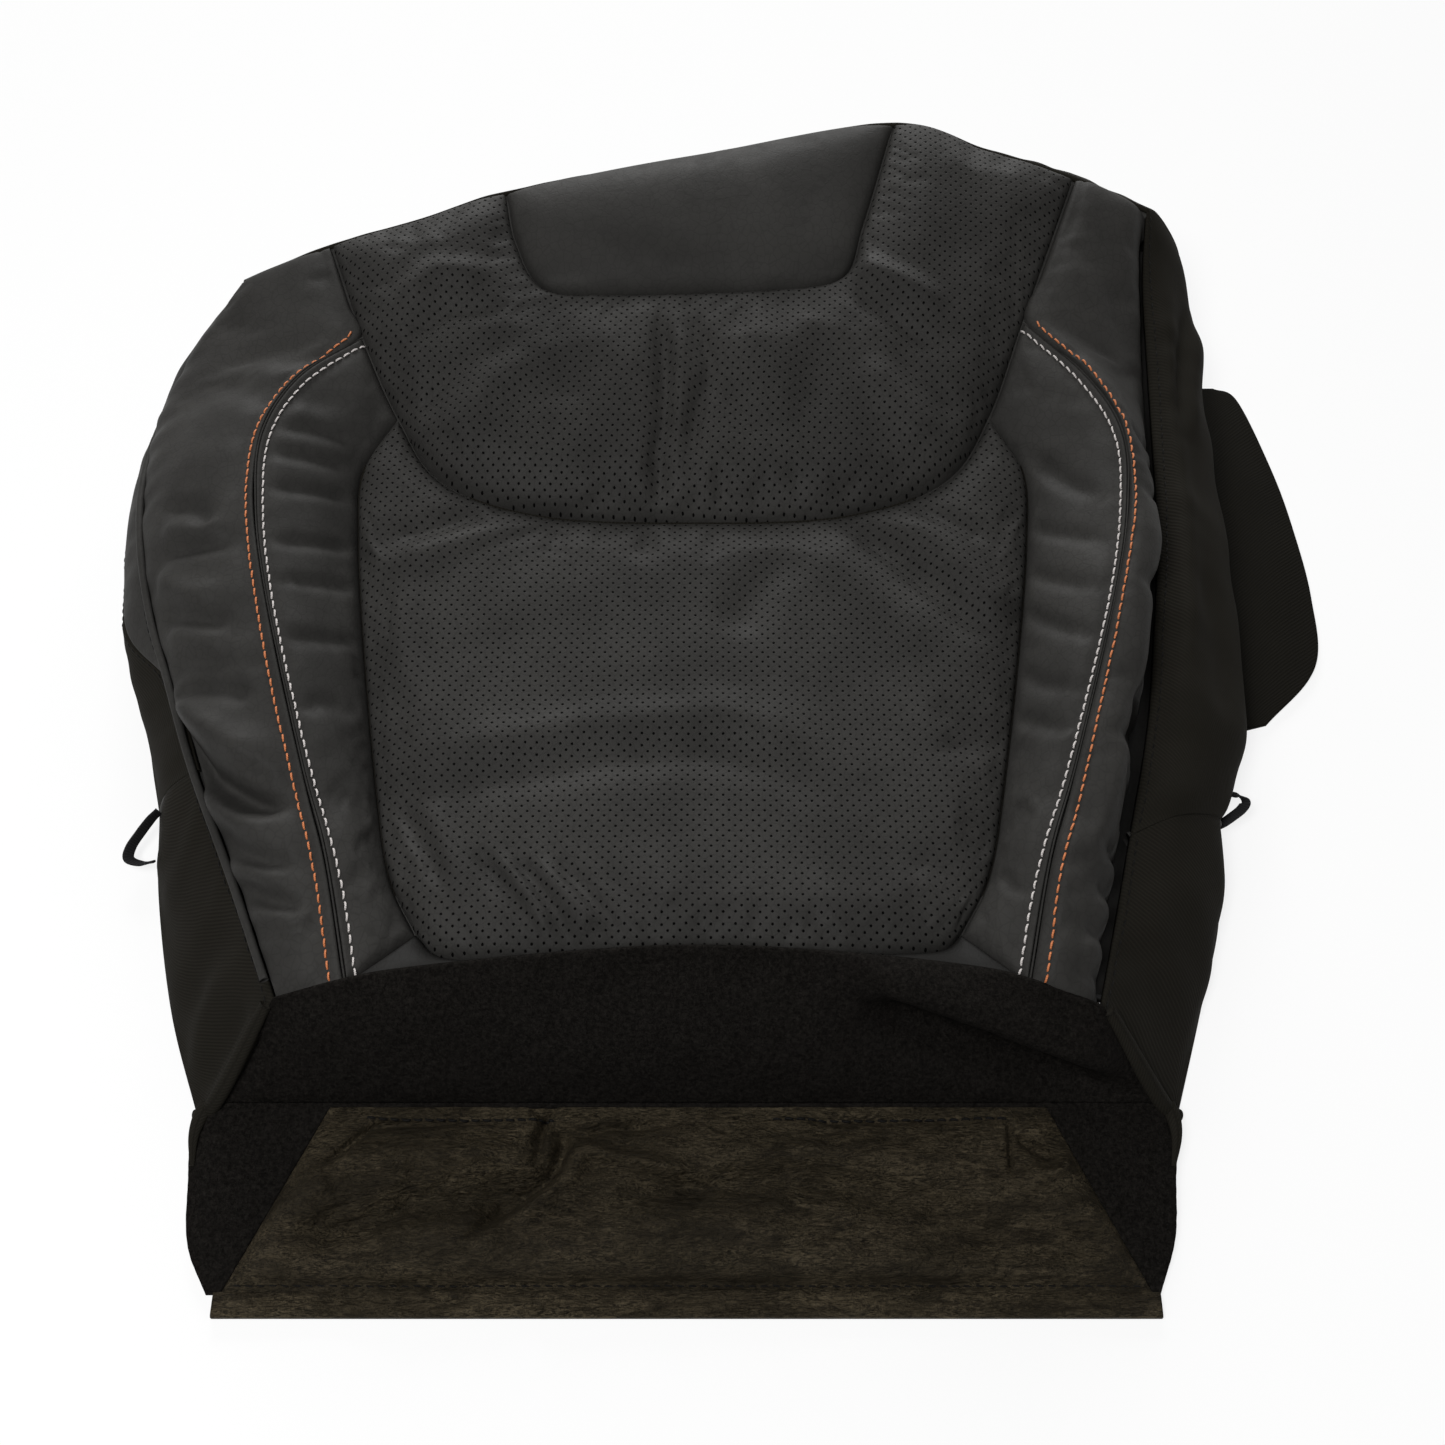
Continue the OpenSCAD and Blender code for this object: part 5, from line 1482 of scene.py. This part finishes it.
class COVER_OT_pull_loops(Operator):
    """Add the two pull loops of narrow tape"""

    bl_idname = "cover.pull_loops"
    bl_label = "Pull loops"

    def execute(self, context):
        # The bow of a loop: shares of the way between its ends, and of its reach away from them
        bow = np.array([[0, 0], [0.16, 0.28], [0.42, 0.62], [0.72, 0.95], [0.95, 0.98], [1.04, 0.5], [1, 0]])
        for side, root, ends, reach in (
            ("left", JOINT_LEFT[2], ((3.7, -4, 12), (3.7, -26.5, 7)), 11.5),
            ("right", JOINT_RIGHT[3], ((1.7, 0.5, 8), (9.5, 15.0, 11)), 7.0),
        ):
            a, b = (np.array(root) + np.array(end) for end in ends)
            out = unit(np.cross(b - a, UP))
            knots = mix(a, b, bow[:, :1]) + out * reach * bow[:, 1:]
            name = "pull_loop_" + side
            path, flat = curve_at(knots, np.linspace(0, 6, 60)), unit(out + np.array([0, -0.9, 1.0]))
            sweep(name + "_tape", path, ring(1.1, 5.6, 16, 4), "tape", "loop_" + side, (name,), up=flat)
        return {"FINISHED"}


class COVER_OT_listing(Operator):
    """Add the listing sleeves below the insert's seams, and finish the wires and strips in them"""

    bl_idname = "cover.listing"
    bl_label = "Listing sleeves, wires and strips"

    def execute(self, context):
        outer, hole = ring(5.6, 5.6, 20), ring(3.9, 3.9, 20)
        # The sleeve's top point is drawn up into the fin that is sewn to the seam
        outer[0] = (0, 10.3)
        finishes = {"hem_strip": "strip", "front_retainer": "retainer"}
        for side, seam, first, last in (
            ("left", Seam(INSERT_LEFT), 0.12, 0.86),
            ("right", Seam(INSERT_RIGHT), 0.12, 0.86),
            ("thigh", Seam(THIGH_SEAM, 3, 7), 0.08, 0.92),
            ("rear", Seam(INSERT_REAR, 1, 5), 0.06, 0.94),
        ):
            path = seam.on(np.linspace(first, last, 90)) - np.array([0, 0, 11.0])
            name = "sleeve_" + side
            sweep(name + "_cloth", path, outer, "twill", nodes=(name,), hole=hole)
            finishes["wire_" + side] = "steel"
        for node, look in finishes.items():
            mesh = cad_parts[node].data
            mesh.materials.clear()
            mesh.materials.append(looks_of(context.scene.cover_colours)[look])
        return {"FINISHED"}


class COVER_OT_stitches(Operator):
    """Add the stitch rows beside the seams"""

    bl_idname = "cover.stitches"
    bl_label = "Stitch rows"

    def execute(self, context):
        sizes = context.scene.cover_sizes
        # Girth of a row's thread, and its height over the panel
        full, fine, heavy = (1.0, 0.25), (0.75, -0.3), (1.15, 0.2)
        rows = [
            ("orange_left", "outer_bolster_left", 1, sizes.outer_row, "orange", full, (2, 54.5)),
            ("white_left", "inner_bolster_left", 0, sizes.inner_row, "white", full, (2, 2)),
            ("white_right", "inner_bolster_right", 1, sizes.inner_row, "white", full, (2, 2)),
            ("orange_right", "outer_bolster_right", 0, sizes.outer_row, "orange", full, (2, 93.0)),
            ("side_panel", "side_panel_left", 2, 2.6, "black", fine, (3, 130)),
            ("hem", "tail_flap", 2, 3.6, "black", fine, (3, 3)),
            ("side_low", "skirt_left_upper", 2, 2.6, "black", fine, (3, 3)),
            ("left_lower", "skirt_left_lower", 2, 3.2, "black", fine, (3, 3)),
            ("right_upper", "skirt_right_upper", 2, 3.0, "black", fine, (3, 3)),
            ("right_lower", "skirt_right_lower", 2, 3.0, "black", fine, (3, 3)),
            ("tail_left", "tail_flap", 3, 6.5, "black", heavy, (18, 206)),
            ("tail_right", "tail_flap", 3, 6.5, "black", heavy, (192, 19)),
        ]
        for number, (name, panel_name, side, distance, look, (girth, lift), skip) in enumerate(rows):
            path, facing = NETS[panel_name].line(side, distance)
            body = "tail" if panel_name == "tail_flap" else "cover"
            stitch_row("stitch_" + name, path + facing * lift, facing, look, body, skip, 101 + number, girth)
        return {"FINISHED"}


class COVER_OT_stage(Operator):
    """Add the floor, the lamps and the camera"""

    bl_idname = "cover.stage"
    bl_label = "Floor, lamps and camera"

    def execute(self, context):
        scene = context.scene
        reach, depth = 2.0, -0.0004
        mesh = bpy.data.meshes.new("floor")
        corners = [(x * reach, y * reach, depth) for x, y in ((-1, -1), (1, -1), (1, 1), (-1, 1))]
        mesh.from_pydata(corners, [], [(0, 1, 2, 3)])
        floor = bpy.data.objects.new("floor", mesh)
        scene.collection.objects.link(floor)
        look = Look("white_floor", base_color=(0.9, 0.9, 0.9, 1), roughness=0.8, specular_ior_level=0.1)
        glow = look.node("ShaderNodeEmission", None, {"Color": WHITE, "Strength": 1.0})
        lit, glowing = Shade(look, look.shader.outputs[0]), Shade(look, glow.outputs[0])
        both = look.node("ShaderNodeMixShader", None, {0: look.showing() * 0.82, 1: lit, 2: glowing})
        look.put(look.tree.nodes["Material Output"].inputs["Surface"], Shade(look, both.outputs[0]))
        mesh.materials.append(look.material)
        for name, spot, size, power in LAMPS:
            light = bpy.data.lights.new(name, "AREA")
            light.size, light.energy = size, power
            lamp = bpy.data.objects.new(name, light)
            scene.collection.objects.link(lamp)
            lamp.location = spot
            lamp.rotation_euler = pointing(spot, (0, 0, 0))
            lamp.visible_camera = False
        world = bpy.data.worlds.new("studio")
        world.use_nodes = True
        scene.world = world
        sky = Nodes(world.node_tree)
        level = sky.showing() * 0.9 + 0.1
        light = sky.node("ShaderNodeBackground", None, {"Color": WHITE, "Strength": level})
        sky.put(sky.tree.nodes["World Output"].inputs["Surface"], Shade(sky, light.outputs[0]))
        camera = bpy.data.cameras.new("camera")
        camera.sensor_width = 36.0
        camera.lens = camera.sensor_width * FOCAL_PIXELS / FRAME_PIXELS
        eye = bpy.data.objects.new("camera", camera)
        scene.collection.objects.link(eye)
        eye.location = EYE
        eye.rotation_euler = pointing(eye.location, EYE_AIM)
        scene.camera = eye
        scene.view_settings.view_transform = "Standard"
        return {"FINISHED"}


def pointing(spot, aim):
    """Turn that points a lamp or a camera from a spot at its aim, with up kept up."""
    x, y, z = (a - s for a, s in zip(aim, spot))
    return (math.atan2(math.hypot(x, y), -z), 0, math.atan2(-x, y))


OPERATORS = (
    COVER_OT_seat_insert, COVER_OT_front_panels, COVER_OT_inner_bolsters, COVER_OT_outer_bolsters,
    COVER_OT_edge_panels, COVER_OT_seam_allowances, COVER_OT_skirts, COVER_OT_rear_and_tail, COVER_OT_side_flap,
    COVER_OT_pull_loops, COVER_OT_listing, COVER_OT_stitches, COVER_OT_stage,
)


class COVER_PT_panel(Panel):
    """Sizes, colours and pieces of the seat cushion's cover"""

    bl_label = "Seat Cushion Cover"
    bl_idname = "COVER_PT_panel"
    bl_space_type = "VIEW_3D"
    bl_region_type = "UI"
    bl_category = "Cover"

    def draw(self, context):
        for group in (context.scene.cover_sizes, context.scene.cover_colours):
            for name in group.__annotations__:
                self.layout.prop(group, name)
        for operator in OPERATORS:
            self.layout.operator(operator.bl_idname)


CLASSES = (CoverSizes, CoverColours) + OPERATORS + (COVER_PT_panel,)


def register():
    """Registers the classes, and the panel's values on the scene."""
    for kind in CLASSES:
        bpy.utils.register_class(kind)
    bpy.types.Scene.cover_sizes = PointerProperty(type=CoverSizes)
    bpy.types.Scene.cover_colours = PointerProperty(type=CoverColours)


def unregister():
    """Takes away what register added."""
    del bpy.types.Scene.cover_colours
    del bpy.types.Scene.cover_sizes
    for kind in reversed(CLASSES):
        bpy.utils.unregister_class(kind)


def main():
    """Builds the cover and its stage."""
    register()
    for operator in OPERATORS:
        group, name = operator.bl_idname.split(".")
        getattr(getattr(bpy.ops, group), name)()


if __name__ == "__main__":
    main()
